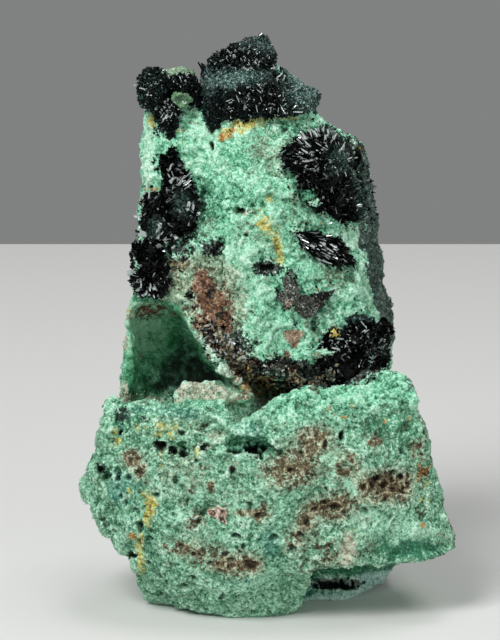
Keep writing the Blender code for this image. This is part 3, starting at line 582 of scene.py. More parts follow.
# Pits and slots: middle across and up, half sizes across and up, and depth, in mm.
PITS = [
    (7.1, 1.4, 2.3, 0.5, 2.8), (-1.2, 15.1, 1.5, 0.7, 1.6), (-0.5, 14.6, 0.7, 0.7, 1.4),
    (-2.9, 14.8, 1.0, 0.35, 0.9), (-10.4, 15.1, 0.7, 0.6, 1.3), (-9.2, 14.8, 0.5, 0.5, 0.9),
    (-8.1, 14.6, 0.55, 0.7, 1.1), (-6.3, 15.1, 0.5, 0.45, 0.9), (-5.8, 15.4, 0.4, 0.3, 0.7),
    (-8.3, 16.6, 0.35, 0.3, 0.6), (-6.9, 13.7, 0.25, 0.25, 0.5), (-14.4, 16.6, 0.35, 0.35, 0.9),
    (-16.4, 12.8, 0.5, 0.45, 0.9), (-14.7, 12.0, 0.4, 0.4, 0.9), (-14.4, 10.2, 0.2, 0.2, 0.4),
    (-16.4, 7.8, 0.6, 0.4, 0.5), (-15.6, 5.9, 0.5, 0.35, 0.7), (-13.4, 4.4, 0.6, 0.6, 0.8),
    (-12.5, 7.2, 0.4, 0.6, 0.6), (-2.5, 38.7, 0.55, 0.4, 0.8), (-5.35, 45.2, 0.22, 0.6, 1.0),
    (-1.9, 36.3, 0.3, 0.3, 0.5), (-6.2, 39.4, 0.5, 1.4, 0.4), (-7.5, 30.1, 0.45, 0.45, 0.4),
    (0.1, 33.1, 1.2, 0.5, 0.5), (4.9, 27.4, 0.3, 1.6, 0.4), (7.6, 16.3, 0.3, 0.5, 0.7),
    (7.9, 21.9, 1.2, 0.5, 0.6), (9.9, 11.0, 0.5, 0.45, 0.5), (11.0, 12.1, 0.35, 0.4, 0.45),
    (12.0, 11.3, 0.45, 0.5, 0.5), (13.5, 12.1, 0.4, 0.4, 0.5), (13.7, 10.6, 0.45, 0.45, 0.5),
    (12.6, 12.6, 0.4, 0.3, 0.5), (7.0, 9.0, 0.7, 0.5, 0.5), (8.0, 8.6, 0.4, 0.4, 0.4),
    (5.9, 9.6, 0.3, 0.3, 0.4), (5.0, 8.9, 0.5, 0.35, 0.4), (4.2, 7.6, 0.35, 0.5, 0.5),
    (3.6, 6.4, 0.35, 0.4, 0.5), (2.7, 5.0, 0.5, 0.5, 0.5), (6.6, 5.2, 0.4, 0.4, 0.3),
    (3.6, 14.6, 0.3, 0.3, 0.4), (2.6, 12.8, 0.4, 0.3, 0.4), (6.0, 15.4, 0.3, 0.4, 0.4),
    (-1.4, 3.3, 0.7, 0.6, 0.6), (-3.6, 3.3, 0.5, 0.4, 0.5), (-4.0, 4.4, 0.4, 0.4, 0.4),
    (-2.6, 4.6, 0.4, 0.3, 0.4), (-0.3, 8.3, 0.4, 0.5, 0.4), (-7.0, 7.6, 0.6, 0.6, 0.4),
    (-8.4, 5.2, 0.5, 0.3, 0.3), (-13.5, 13.9, 0.4, 0.4, 0.3), (-12.6, 12.6, 0.45, 0.5, 0.5),
    (-0.9, 25.6, 0.4, 0.4, 0.4), (-5.7, 30.3, 0.3, 0.4, 0.4), (-4.9, 28.3, 0.35, 0.3, 0.4),
    (-4.3, 26.9, 0.3, 0.4, 0.4), (-6.2, 31.5, 0.3, 0.3, 0.3), (10.6, 11.3, 0.3, 0.3, 0.35),
    (12.8, 10.9, 0.35, 0.3, 0.4), (11.3, 10.6, 0.3, 0.25, 0.35), (14.3, 11.4, 0.3, 0.35, 0.4),
    (12.7, 11.9, 0.3, 0.3, 0.35),
]

# Cuts that keep the front outline to the specimen's: a place on the line, the way that the line
# faces (degrees), and from which height up to which it holds, in mm.
OUTLINE_CUTS = [
    (5.8, 48.4, 53, 45.0, 49.5),
    (9.8, 45.3, 13, 38.0, 45.6),
    (-12.25, 46.0, 180, 41.5, 48.6),
    (-12.5, 38.0, 180, 36.0, 41.5),
    (-13.4, 34.0, 180, 29.5, 36.0),
    (-13.1, 50.8, 180, 48.6, 53.0),
    (17.3, 4.0, -65, 3.4, 6.0),
    (0.9, 55.1, 25, 53.8, 57.5),
    (2.8, 52.5, 53, 51.6, 53.8),
]
CUT_EASE = 0.25
CUT_FADE = 0.8

# Scarps on the rock's front: a place on the line and the way that the low side lies (degrees), how
# far the line reaches to both sides, and the scarp's height, in mm.
SCARPS = [
    (-3.4, 43.5, 57, 2.6, 0.26),
    (-4.0, 33.3, 180, 3.4, 0.24),
    (-3.2, 27.2, 196, 2.8, 0.26),
    (0.95, 34.8, 0, 1.6, 0.2),
    (-0.7, 35.6, 80, 1.7, 0.2),
    (1.0, 29.8, 0, 2.0, 0.18),
    (6.0, 27.6, 180, 1.9, 0.26),
    (9.9, 33.2, -15, 4.4, 0.2),
    (-5.9, 41.3, 200, 1.5, 0.3),
    (-7.8, 44.6, 300, 2.0, 0.2),
    (3.0, 40.8, 30, 1.8, 0.18),
    (-1.8, 39.8, 250, 1.8, 0.18),
    (9.0, 3.3, -90, 5.6, 0.3),
    (-11.6, 9.6, 190, 2.6, 0.24),
    (-4.6, 17.4, 240, 2.2, 0.3),
    (4.4, 10.4, 300, 2.0, 0.2),
    (10.6, 9.2, 250, 2.6, 0.2),
]
SCARP_WIDTH = 0.14
SCARP_REACH = 1.2


def scarped(points):
    """How far the rock stands out beside its scarps, in mm."""
    shown = as_seen(points)
    wander = 0.5 * field(points, 1.1) + 0.2 * field(points, 0.5)
    rise = np.zeros(len(points))
    for across, up, facing, reach, height in SCARPS:
        right, above = math.cos(math.radians(facing)), math.sin(math.radians(facing))
        off = (shown[:, 0] - across) * right + (shown[:, 1] - up) * above + wander
        along = (shown[:, 1] - up) * right - (shown[:, 0] - across) * above
        near = np.exp(-(off / SCARP_REACH) ** 2) * smooth_step(-np.abs(along), -reach, -0.5 * reach)
        rise -= height * np.tanh(off / SCARP_WIDTH) * near
    return rise


# Lumps that the refined rock has besides its frame node: middle across and up, depth, and half
# sizes across, up and deep, in mm.
ROCK_LUMPS = [
    (-13.5, 23.4, 2.2, 0.75, 4.2, 1.8), (-13.7, 20.6, 1.8, 0.7, 2.0, 1.6),
    (10.1, 42.6, 4.4, 1.0, 4.2, 3.0), (10.0, 38.6, 4.2, 1.1, 3.0, 2.6),
    (14.4, 4.6, -7.6, 3.6, 0.9, 2.6), (16.6, 4.5, -7.4, 1.9, 0.6, 2.0),
    (18.0, 5.0, -7.0, 0.9, 0.5, 1.6), (18.6, 5.0, -6.8, 0.6, 0.35, 1.1),
    (-17.5, 11.2, -2.0, 1.1, 1.6, 2.6), (-15.1, 18.9, -4.4, 1.3, 1.0, 2.4),
    (-15.3, 17.2, -4.8, 1.2, 2.0, 2.6), (-15.8, 15.2, -5.0, 1.2, 2.0, 2.6),
    (-16.4, 13.4, -5.0, 1.2, 1.8, 2.4), (-16.9, 12.9, -5.2, 1.1, 1.4, 2.4),
    (-16.4, 9.0, -5.4, 1.1, 1.4, 2.2), (-15.8, 8.3, -5.2, 1.2, 2.2, 2.6),
    (-14.0, 6.2, -5.8, 1.2, 2.0, 2.4), (-12.7, 4.2, -6.4, 1.0, 1.8, 2.2),
    (14.6, 19.7, -6.2, 0.85, 1.0, 1.8), (8.8, 45.7, 3.4, 0.85, 0.9, 2.2),
    (-8.4, 20.1, -5.6, 0.9, 0.65, 0.9), (-7.2, 21.1, -5.4, 1.1, 0.7, 1.0),
    (-5.9, 21.2, -5.4, 1.1, 0.7, 0.9), (-4.7, 20.6, -5.6, 0.9, 0.7, 0.9),
    (-3.3, 20.0, -4.7, 1.2, 0.85, 1.4), (-6.8, 28.5, -3.9, 0.45, 0.7, 0.6),
    (-6.4, 27.4, -4.1, 0.45, 0.7, 0.6), (-6.0, 26.3, -4.3, 0.45, 0.7, 0.6),
    (-5.6, 25.2, -4.4, 0.45, 0.7, 1.2), (-5.1, 24.2, -4.0, 0.45, 0.6, 1.6),
    (-4.4, 23.4, -3.6, 0.5, 0.45, 1.8), (-3.6, 22.7, -3.3, 0.5, 0.45, 1.8),
    (-2.9, 22.0, -3.0, 0.5, 0.45, 1.8), (-2.2, 21.2, -2.8, 0.5, 0.45, 1.8),
    (18.3, 5.4, -6.7, 0.75, 0.55, 1.3), (17.9, 7.2, -6.6, 0.7, 1.6, 1.3),
    (17.0, 9.4, -6.5, 1.0, 1.6, 1.6), (-2.0, 19.8, -4.4, 0.9, 0.7, 1.2),
]


# How far a patch reaches in depth from the surface that it shows on, in mm, and past all depths.
PATCH_REACH = 3.0
ANY_DEPTH = 40


def patch_cover(shown, places, depths, depth_reach=PATCH_REACH):
    """How strongly patches cover each vertex, from where it shows (across, up, depth)."""
    bare = np.ones(len(shown))
    for (across, up, wide, high, strength), depth in zip(places, depths):
        if depth is None:
            continue
        steps = ((shown[:, 0] - across) / wide) ** 2 + ((shown[:, 1] - up) / high) ** 2
        steps += ((shown[:, 2] - depth) / depth_reach) ** 2
        bare *= 1 - strength * smooth_step(-np.sqrt(steps), -1.6, -0.5)
    return 1 - bare


def cover_at_any_depth(points, places):
    """How strongly patches cover each point, wherever it lies behind them."""
    return patch_cover(as_seen(points), places, [0] * len(places), depth_reach=ANY_DEPTH)


def met_depths(tree, places):
    """The depth (mm) at which the sight line through each place meets the rock."""
    depths = []
    for across, up, *_ in places:
        place, _, _, _ = tree.ray_cast(eye(), sight(across, up))
        depths.append(None if place is None else place.y / MM)
    return depths


def cut_back(points, margin=0):
    """The points with what stands past the outline cuts, less a margin in mm, eased back to them."""
    shown = as_seen(points)
    upward = Vector((0, math.sin(VIEW_RISE), math.cos(VIEW_RISE)))
    moved = points.copy()
    for across, up, facing, low, high in OUTLINE_CUTS:
        right, rise = math.cos(math.radians(facing)), math.sin(math.radians(facing))
        past = (shown[:, 0] - across) * right + (shown[:, 1] - up) * rise + margin
        held = smooth_step(shown[:, 1], low - CUT_FADE, low)
        held *= 1 - smooth_step(shown[:, 1], high, high + CUT_FADE)
        eased = np.log1p(np.exp(np.clip(past / CUT_EASE, -20, 20))) * CUT_EASE
        back = eased * held * MM
        moved -= np.outer(back, np.array((right, 0, 0)) + np.array(upward) * rise)
    return moved


def dug(points, normals, tree):
    """The points with the pits pressed in, and how deep each lies in one (0 to 1), which the finish
    paints as shade.
    """
    shown = as_seen(points)
    ragged = 1 + 1.1 * field(points, 0.8) + 1.3 * field(points, 0.4)
    moved = points.copy()
    pit_shading = np.zeros(len(points))
    for across, up, wide, high, depth in PITS:
        place, outward, _, _ = tree.ray_cast(eye(), sight(across, up))
        if place is None:
            continue
        steps = ((shown[:, 0] - across) / wide) ** 2 + ((shown[:, 1] - up) / high) ** 2
        steps += ((shown[:, 2] - place.y / MM) / (2 * max(wide, high, depth))) ** 2
        share = np.clip(1 - (steps / np.maximum(ragged, 0.2)) ** 1.5, 0, 1)
        inward = (look_direction() - outward).normalized()
        moved += np.outer(share * depth * MM, np.array(inward))
        pit_shading = np.maximum(pit_shading, smooth_step(share, 0.2, 0.9) * min(1, depth * 1.15))
    return moved, pit_shading


# The niche: its middle, its half sizes across, deep and up (mm), how far it leans over, the height
# of its floor (mm) and how far to the front it reaches (mm).
NICHE_MIDDLE = seen(-8.7, 21.8, -1.0)
NICHE_HALF = (5.2, 9.0, 10.4)
NICHE_TURN = math.radians(-25)
NICHE_FLOOR = 19.5
NICHE_FRONT = -4.5

# Where the niche's upper edge melts into the rock above it, as a patch with its depth and its
# reach in depth (mm), and how often it is smoothed.
MELTED = (-10.6, 30.0, 3.6, 1.6, 1.0)
MELTED_DEPTH = 2
MELTED_REACH = 8
MELTING = 50


def in_niche(points, normals):
    """1 on the walls of the niche at the left, falling to 0 round it and on its floor."""
    away = (points - np.array(NICHE_MIDDLE)) / MM
    sin, cos = math.sin(NICHE_TURN), math.cos(NICHE_TURN)
    sideways = (away[:, 0] * cos - away[:, 2] * sin) / NICHE_HALF[0]
    rise = (away[:, 0] * sin + away[:, 2] * cos) / NICHE_HALF[2]
    inward = away[:, 1] / NICHE_HALF[1]
    above = smooth_step(points[:, 2], NICHE_FLOOR * MM, (NICHE_FLOOR + 1) * MM)
    above = above * (points[:, 1] > NICHE_FRONT * MM)
    wall = 1 - smooth_step(normals[:, 2], 0.45, 0.75) * (points[:, 2] < 24 * MM)
    ragged = 0.5 * field(points, 1.8) + 0.3 * field(points, 0.6)
    within = -(sideways ** 2 + rise ** 2 + inward ** 2) + ragged
    return above * wall * smooth_step(within, -1.4, -0.6)


# The niche's right edge in the front view: heights, and how far across it lies at each, in mm. Along it
# runs a painted highlight of the lit rim.
NICHE_EDGE = ((20.6, 22.5, 23.9, 26.4, 28.5), (-2.1, -3.8, -5.5, -6.4, -7.2))


def painted_niche_light(shown):
    """How light the niche's green is painted where it shows, from 0 to about 1: painted light on its
    lip, top and middle and along its lit right rim, and painted shade deep inside it.
    """
    across, up = shown[:, 0], shown[:, 1]
    lip = smooth_step(-across, 8.6, 13.2)
    rim = smooth_step(across - np.interp(up, *NICHE_EDGE), -1.5, -0.3)
    top = smooth_step(up, 22.6, 28.4)
    low = 1 - smooth_step(up, 20.5, 24.5)
    middle = np.exp(-((across + 10.9) / 1.9) ** 2 - ((up - 26.0) / 2.0) ** 2)
    light = 0.7 * lip * (1 - 0.3 * low) + 0.52 * top * (1 - 0.4 * lip)
    return light + 0.45 * middle + 0.8 * rim - 0.05


# Where the dark right side begins in the front view: heights, and how far across, in mm.
FLANK_EDGE = ((24.0, 26.5, 29.0, 32.0, 36.0, 40.0), (12.8, 12.2, 11.2, 10.4, 9.4, 8.0))


def shaded_right_flank(points, normals):
    """1 on the darker fractured side that turns to the right above the ledge: partly its own darker
    colour and partly painted shade, as it faces away from the light.
    """
    turned = smooth_step(normals[:, 0], 0.35, 0.75)
    above = smooth_step(points[:, 2] + field(points, 2.4) * 4 * MM, 20 * MM, 24 * MM)
    ragged = field(points, 2.6) * 5 + field(points, 1.1) * 2
    forward = 1 - smooth_step(points[:, 1] / MM + ragged, 5.5, 8.5)
    shown = as_seen(points)
    past = shown[:, 0] - np.interp(shown[:, 1], *FLANK_EDGE) + field(points, 1.2) * 0.8
    return turned * above * forward * smooth_step(past, -0.3, 0.3)


def bent_places(points):
    """The points pushed about by a noise, so that what is read there runs unevenly."""
    bend = np.column_stack([field(points + shift * MM, 1.6) for shift in (0, 31, 67)])
    return points + bend * 0.5 * MM


def rock_relief(points, normals, niche):
    """How far the rock's fine skin stands out, in mm, and how deep its pocks are (0 to 1).

    Each field's second value is the width of its features and its factor is their height, in mm.
    """
    behind = smooth_step(normals[:, 1], 0.1, 0.6)
    ledge = 1 - smooth_step(points[:, 2], 17 * MM, 23 * MM)
    bent = bent_places(points)
    lumps = field(points, 2.8) * 0.34 + field(bent, 1.2) * 0.3 + field(bent, 0.62) * 0.2
    creases = (0.2 - np.abs(field(bent, 2.1))) * 0.4 + (0.16 - np.abs(field(bent, 0.9))) * 0.3
    broken = (0.45 - field(bent, 0.9, chips)) * (0.08 + 0.1 * ledge)
    grains = (0.45 - field(points, 0.36, chips)) * (0.2 + 0.08 * ledge)
    pocked = field(bent, 1.5, pocks) * np.maximum(0.2 + 0.8 * ledge, behind) * (1 - niche)
    terraces = smooth_step(field(bent, 2.6), 0.0, 0.07) * 0.22
    terraces = terraces + smooth_step(field(bent, 1.4), 0.1, 0.17) * 0.12
    terraces = (terraces - 0.13) * (1 - 0.6 * ledge)
    broad = field(points, 6.0) * 0.9 + smooth_step(field(bent, 4.2), 0.0, 0.1) * 0.6 - 0.3
    rough = (lumps + creases + broken) * (0.8 - 0.1 * ledge) + grains + terraces + broad * behind
    velvet = field(points, 1.0) * 0.3 + field(points, 0.45) * 0.14
    shown = as_seen(points)
    facet = smooth_step(shown[:, 0], 9.5, 11.5) * (1 - smooth_step(shown[:, 1], 6.2, 7.6))
    calm = (1 - 0.6 * niche) * (1 - 0.75 * facet)
    return rough * calm + velvet * niche - pocked * 0.5 * (1 - facet) - 0.05, pocked


# Stains that lie everywhere: the width of their clouds in mm, the noise from which they start, and
# the share that they have on the front, which has its own patches too.
CLOUDS = {
    "sage": (2.4, 0.04, 0.5),
    "deep": (1.9, 0.1, 0.4),
    "pale": (1.6, 0.14, 0.6),
    "teal": (3.2, 0.22, 0.3),
    "umber": (3.6, 0.14, 0),
    "rust": (2.8, 0.24, 0),
    "ochre": (2.6, 0.28, 0),
    "soot": (3.4, 0.26, 0),
    "chalk": (2.2, 0.3, 0.1),
}


def generic_stains(points, front):
    """Cover of the stains that lie everywhere, fainter on the front."""
    covers = {}
    for number, (name, (width, level, share)) in enumerate(CLOUDS.items()):
        cloud = field(points + (7 + 13 * number) * MM, width)
        covers[name] = smooth_step(cloud, level, level + 0.35) * 0.85 * (1 - front * (1 - share))
    return covers


def rock_skin():
    """The rock's fine even mesh before it is weathered, and its points."""
    mesh = reskinned(node_copy("matrix", ROCK_LUMPS), ROCK_CELL)
    mesh.name = "green_rock"
    points = cut_back(softened(points_of(mesh), mesh, ROCK_SMOOTHING, (0.6, -0.62)))
    melt = patch_cover(as_seen(points), [MELTED], [MELTED_DEPTH], depth_reach=MELTED_REACH)[:, None]
    points = points * (1 - melt) + softened(points, mesh, MELTING) * melt
    put_points(mesh, points)
    return mesh, points


def stain_rock(mesh, tree, points, normals, niche, front):
    """Marks how strongly each stain covers the rock."""
    shown = as_seen(points)
    covers = generic_stains(points, front)
    covers = {name: cover * (1 - 0.85 * niche) for name, cover in covers.items()}
    covers["flank"] = shaded_right_flank(points, normals)
    brown = PATCHES["umber"] + PATCHES["rust"]
    rims = [(across, up, wide * 1.5, high * 1.5, share) for across, up, wide, high, share in brown]
    covers["sage"] = np.maximum(covers["sage"], patch_cover(shown, rims, met_depths(tree, rims)))
    for kind, places in PATCHES.items():
        cover = patch_cover(shown, places, met_depths(tree, places))
        mark(mesh, kind, np.maximum(cover, covers.get(kind, 0)))
    # Painted light and shade of the niche, from where each point shows.
    mark(mesh, "glow", painted_niche_light(shown))


def make_rock():
    """The green rock with its fine skin, pits and stains."""
    mesh, points = rock_skin()
    tree = tree_of(mesh)
    normals = normals_of(mesh)
    niche = in_niche(points, normals)
    low = smooth_step(points[:, 2], 0, 0.8 * MM)
    relief, pocked = rock_relief(points, normals, niche)
    relief += scarped(points) * (normals[:, 1] < 0.3)
    points = points + normals * (relief * low * MM)[:, None]
    points, pit_shading = dug(points, normals, tree)
    points[:, 2] = np.maximum(points[:, 2], 0)
    put_points(mesh, points)
    front = smooth_step(-normals[:, 1], -0.35, 0.15)
    stain_rock(mesh, tree, points, normals, niche, front)
    # Pits and pocks are darkened by their depth: painted shade.
    mark(mesh, "pit", np.maximum(pit_shading, pocked * 0.7))
    mark(mesh, "niche", niche)
    # Painted shade in hollows and painted light on ridges.
    mark(mesh, "hollow", hollowness(points, mesh, 6))
    mark(mesh, "tone", np.full(len(points), 0.5))
    mark(mesh, "cover", (0.3 + 0.7 * front) * (1 - 0.8 * niche) * low)
    mark(mesh, "reach", np.ones(len(points)))
    mark(mesh, "roll", np.zeros(len(points)))
    mark_ways(mesh, "growth", normals_of(mesh))
    piece = new_object("green_rock", mesh)
    thin(piece, ROCK_TRIANGLES, front)
    smooth_shaded(piece)
    return piece


def smooth_shaded(piece):
    piece.data.polygons.foreach_set("use_smooth", [True] * len(piece.data.polygons))


def thin(piece, limit, keep=None):
    """Brings a piece under its limit of triangles, mostly where keep is 0."""
    triangles = sum(len(face.vertices) - 2 for face in piece.data.polygons)
    if triangles <= limit:
        return
    fewer = piece.modifiers.new("fewer_faces", "DECIMATE")
    fewer.ratio = limit / triangles
    if keep is not None:
        group = piece.vertex_groups.new(name="coarse")
        for index, share in enumerate(keep):
            group.add([index], 1 - 0.9 * share, "REPLACE")
        fewer.vertex_group = "coarse"
        fewer.vertex_group_factor = 1.0
    mesh = evaluated_mesh(piece, piece.data.name)
    piece.modifiers.remove(fewer)
    piece.vertex_groups.clear()
    piece.data = mesh


def rock_finish():
    """Green granular rock with rust, ochre, umber, chalk, soot and teal stains, with painted shade in
    its hollows, pits and niche, and painted light and highlights on ridges and lit edges.
    """
    make = Finish("green_rock")
    tone = make.attribute("tone")
    fine = make.noise(0.2, detail=3, roughness=0.7) - 0.5
    middle = make.noise(0.6, detail=3, roughness=0.6, seed=5) - 0.5
    cloud = make.noise(2.4, detail=3, roughness=0.55, seed=3) - 0.5
    vote = make.dice(0.21)
    threads = 1 - make.step(make.size(make.noise(0.42, detail=3, seed=9) - 0.5), 0.0, 0.05)
    light = 0.49 + fine * 1.9 + middle * 0.9 + cloud * 0.9 + (vote - 0.5) * 0.2 + threads * 0.16
    # Hollows darkened as painted shade and ridges lightened as painted light.
    light = light + (tone - 0.5) * 0.36 - make.attribute("hollow") * 2.5
    height = make.parts(make.place)[2]
    upper = make.step(height + cloud * 0.004, 19 * MM, 23 * MM)
    colour = make.mix(upper, make.ramp(light, LEAF_RAMP), make.ramp(light, MINT_RAMP))
    # Inside the niche the colour follows its painted light and shade.
    shade = make.attribute("glow") + middle * 1.3 + fine * 0.8 + cloud * 0.5
    colour = make.mix(make.attribute("niche"), colour, make.ramp(shade, NICHE_SHADING_RAMP))
    chance = vote * 0.5 + make.step(middle + cloud * 0.4, -0.2, 0.2) * 0.5
    for name, colours in STAINS.items():
        soft = SOFTNESS.get(name, 0.42)
        share = make.step(make.attribute(name) * (1 + soft) - chance, 0, soft)
        colour = make.mix(share, colour, make.ramp(light, colours))
    pores = 1 - make.step(make.cells(0.5), 0.16, 0.3)
    pores = pores * make.step(make.noise(1.3, seed=13), 0.46, 0.58)
    colour = make.mix(pores * (0.85 - 0.45 * upper), colour, PORE)
    # Inside pits the painted shade is near-black green, or dark brown in the umber patches.
    pit_shade_colour = make.mix(make.attribute("umber"), PIT_SHADE_GREEN, UMBER)
    colour = make.mix(make.attribute("pit") * 0.92, colour, pit_shade_colour)
    return make.set(
        Base_Color=colour,
        Roughness=0.8 - light * 0.1,
        Normal=make.relief(fine + middle * 1.5 + 1, 0.14),
        Specular_IOR_Level=0.35,
    )


# Crystals and grains

def template(name, corners, faces):
    """A small closed shape that growth and heaps copy."""
    mesh = bpy.data.meshes.new(name)
    mesh.from_pydata(corners, [], faces)
    shape = bmesh.new()
    shape.from_mesh(mesh)
    bmesh.ops.recalc_face_normals(shape, faces=shape.faces)
    bmesh.ops.triangulate(shape, faces=shape.faces)
    shape.to_mesh(mesh)
    shape.free()
    return new_object(name, mesh)


# A blade's section, and the heights of its left corner, ridge and right corner, for a blade one unit
# long and wide: three ridged blades, a plate and a stubby block.
RIDGED = ((-0.5, 0), (0.08, -0.5), (0.5, 0), (-0.08, 0.5))
PLATED = ((-0.5, -0.3), (0.5, -0.5), (0.5, 0.3), (-0.5, 0.5))
BLADES = (
    (RIDGED, 1.0, 0.9, 0.72),
    (RIDGED, 0.8, 1.0, 0.86),
    (PLATED, 0.94, 0.98, 0.9),
    (PLATED, 0.62, 0.7, 0.66),
    (PLATED, 0.42, 0.38, 0.45),
)


def blade_shapes():
    """Flat crystals, one unit long and one wide, with slanted, pointed and blunt ends."""
    sides = [(i, (i + 1) % 4, 4 + (i + 1) % 4, 4 + i) for i in range(4)]
    ends = [(3, 2, 1, 0), (4, 5, 6), (4, 6, 7)]
    shapes = []
    for number, (section, left, ridge, right) in enumerate(BLADES):
        low = [(x, y, -0.1) for x, y in section]
        tops = (left, ridge, right, ridge)
        high = [(x * 0.86, y * 0.8, top) for (x, y), top in zip(section, tops)]
        shapes.append(template(f"blade_{number}", low + high, sides + ends))
    return shapes


def grain_shapes():
    """Lumpy grains of eight faces, one unit across."""
    shapes = []
    rims = (
        ((0.5, 0.1), (-0.1, 0.45), (-0.5, 0.0), (0.05, -0.4)),
        ((0.4, 0.25), (-0.3, 0.4), (-0.4, -0.3), (0.35, -0.4)),
    )
    for number, rim in enumerate(rims):
        corners = [(x, y, 0.05 * (-1) ** k) for k, (x, y) in enumerate(rim)]
        corners += [(0.08, 0.05, 0.45), (0, 0, -0.4)]
        faces = [(i, (i + 1) % 4, 4) for i in range(4)] + [((i + 1) % 4, i, 5) for i in range(4)]
        shapes.append(template(f"grain_{number}", corners, faces))
    return shapes


# How the blades of one group differ, as shares of the length and width given for it: the length
# of the shortest and longest, how wide most are, and how much wider the few largest.
LENGTH_SPREAD = (0.5, 1.3)
MOST_SIZE = 0.6
LARGEST_PLUS = 1.1


class GrowthNet(Net):
    """A tree that scatters small shapes over a bed."""

    def __init__(self, name):
        super().__init__(bpy.data.node_groups.new(name, "GeometryNodeTree"))
        kinds = {"Bed": "Geometry", "Seed": "Int", "Cover": "String", "Finish": "Material"}
        for measure in ("Density", "Length", "Width", "Thickness", "Tilt", "Roll"):
            kinds[measure] = "Float"
        for socket, kind in kinds.items():
            self.tree.interface.new_socket(socket, in_out="INPUT", socket_type="NodeSocket" + kind)
        self.tree.interface.new_socket("Grown", in_out="OUTPUT", socket_type="NodeSocketGeometry")
        self.start = self.tree.nodes.new("NodeGroupInput")

    def given(self, socket):
        return Wire(self, self.start.outputs[socket])

    def named(self, source, kind="FLOAT"):
        """What is stored on the bed under a name."""
        settings = {"data_type": kind}
        return self.node("GeometryNodeInputNamedAttribute", settings, {"Name": source}, out="Attribute")

    def chance(self, low, high, seed):
        inputs = {2: low, 3: high, "Seed": seed}
        return self.node("FunctionNodeRandomValue", {"data_type": "FLOAT"}, inputs, out=1)

    def places(self):
        """Points all over the bed, as dense as its cover says."""
        density = self.given("Density") * self.named(self.given("Cover"))
        inputs = {"Mesh": self.given("Bed"), "Density": density, "Seed": self.given("Seed")}
        settings = {"distribute_method": "RANDOM"}
        return self.node("GeometryNodeDistributePointsOnFaces", settings, inputs)

    def turn(self):
        """How each shape stands: along the bed's growth, a little out of line, and rolled."""
        inputs = {0: (-1, -1, -1), 1: (1, 1, 1), "Seed": 5}
        jitter = self.node("FunctionNodeRandomValue", {"data_type": "FLOAT_VECTOR"}, inputs)
        inputs = {0: jitter, "Scale": self.given("Tilt")}
        jitter = self.node("ShaderNodeVectorMath", {"operation": "SCALE"}, inputs)
        inputs = {0: self.named("growth", "FLOAT_VECTOR"), 1: jitter}
        way = self.node("ShaderNodeVectorMath", {"operation": "ADD"}, inputs)
        upright = self.node("FunctionNodeAlignRotationToVector", {"axis": "Z"}, {"Vector": way})
        angle = self.named("roll") + self.chance(-1, 1, 11) * self.given("Roll")
        inputs = {"Axis": (0, 0, 1), "Angle": angle}
        roll = self.node("FunctionNodeAxisAngleToRotation", None, inputs)
        settings = {"rotation_space": "LOCAL"}
        return self.node("FunctionNodeRotateRotation", settings, {0: upright, 1: roll})

    def size(self):
        """Each shape's width, thickness and length; a few are far larger than the rest."""
        luck = self.chance(0, 1, 19)
        spread = luck * luck * luck * LARGEST_PLUS + MOST_SIZE
        inputs = {
            "X": self.given("Width") * spread,
            "Y": self.given("Thickness") * spread,
            "Z": self.given("Length") * self.chance(*LENGTH_SPREAD, 13) * self.named("reach"),
        }
        return self.node("ShaderNodeCombineXYZ", None, inputs)

    def joined(self, parts):
        both = self.tree.nodes.new("GeometryNodeJoinGeometry")
        for part in parts:
            self.tree.links.new(part.socket, both.inputs[0])
        return Wire(self, both.outputs[0])

    def scattered(self, shapes):
        """The shapes on the bed, each with a tone of its own."""
        settings = {"transform_space": "ORIGINAL"}
        sources = []
        for shape in shapes:
            inputs = {"Object": shape, "As Instance": True}
            sources.append(self.node("GeometryNodeObjectInfo", settings, inputs, out="Geometry"))
        inputs = {4: 0, 5: len(shapes) - 1, "Seed": 29}
        pick = self.node("FunctionNodeRandomValue", {"data_type": "INT"}, inputs, out=2)
        inputs = {
            "Points": self.places(),
            "Instance": self.joined(sources),
            "Pick Instance": True,
            "Instance Index": pick,
            "Rotation": self.turn(),
            "Scale": self.size(),
        }
        copies = self.node("GeometryNodeInstanceOnPoints", None, inputs)
        settings = {"data_type": "FLOAT", "domain": "INSTANCE"}
        inputs = {"Geometry": copies, "Name": "tone", "Value": self.chance(0, 1, 31)}
        copies = self.node("GeometryNodeStoreNamedAttribute", settings, inputs)
        return self.node("GeometryNodeRealizeInstances", None, {0: copies})


def growth_tree(name, shapes, with_bed):
    """A tree that makes one mesh of shapes scattered over a bed, with the bed or without it."""
    net = GrowthNet(name)
    whole = net.scattered(shapes)
    if with_bed:
        whole = net.joined([net.given("Bed"), whole])
    inputs = {"Geometry": whole, "Material": net.given("Finish")}
    done = net.node("GeometryNodeSetMaterial", None, inputs)
    end = net.tree.nodes.new("NodeGroupOutput")
    net.tree.links.new(done.socket, end.inputs[0])
    return net.tree


def grown(name, bed, tree, values):
    """What the growth tree makes of a bed, as one plain piece."""
    holder = new_object(name, bed)
    growth = holder.modifiers.new("growth", "NODES")
    growth.node_group = tree
    for item in tree.interface.items_tree:
        if item.name in values:
            growth[item.identifier] = values[item.name]
    mesh = evaluated_mesh(holder, name)
    bpy.data.objects.remove(holder)
    return new_object(name, mesh)


# The blades of each crystal group: how many on a square mm, their length, width and thickness in
# mm, and how much they tilt out of line.
GROWTHS = {
    "crown": (32, 0.32, 0.18, 0.1, 0.7),
    "knob": (36, 0.27, 0.19, 0.1, 0.7),
    "left_cluster": (26, 0.5, 0.3, 0.1, 0.4),
    "right_fan": (24, 0.55, 0.2, 0.09, 0.25),
    "right_spray": (30, 0.85, 0.2, 0.09, 0.2),
    "low_cluster": (30, 0.45, 0.24, 0.1, 0.5),
    "seam_crust": (34, 0.3, 0.24, 0.18, 0.8),
    "face_crystals": (36, 0.27, 0.18, 0.12, 0.7),
    "back_high_crust": (24, 0.5, 0.26, 0.1, 0.4),
    "back_low_crust": (24, 0.5, 0.26, 0.1, 0.4),
}

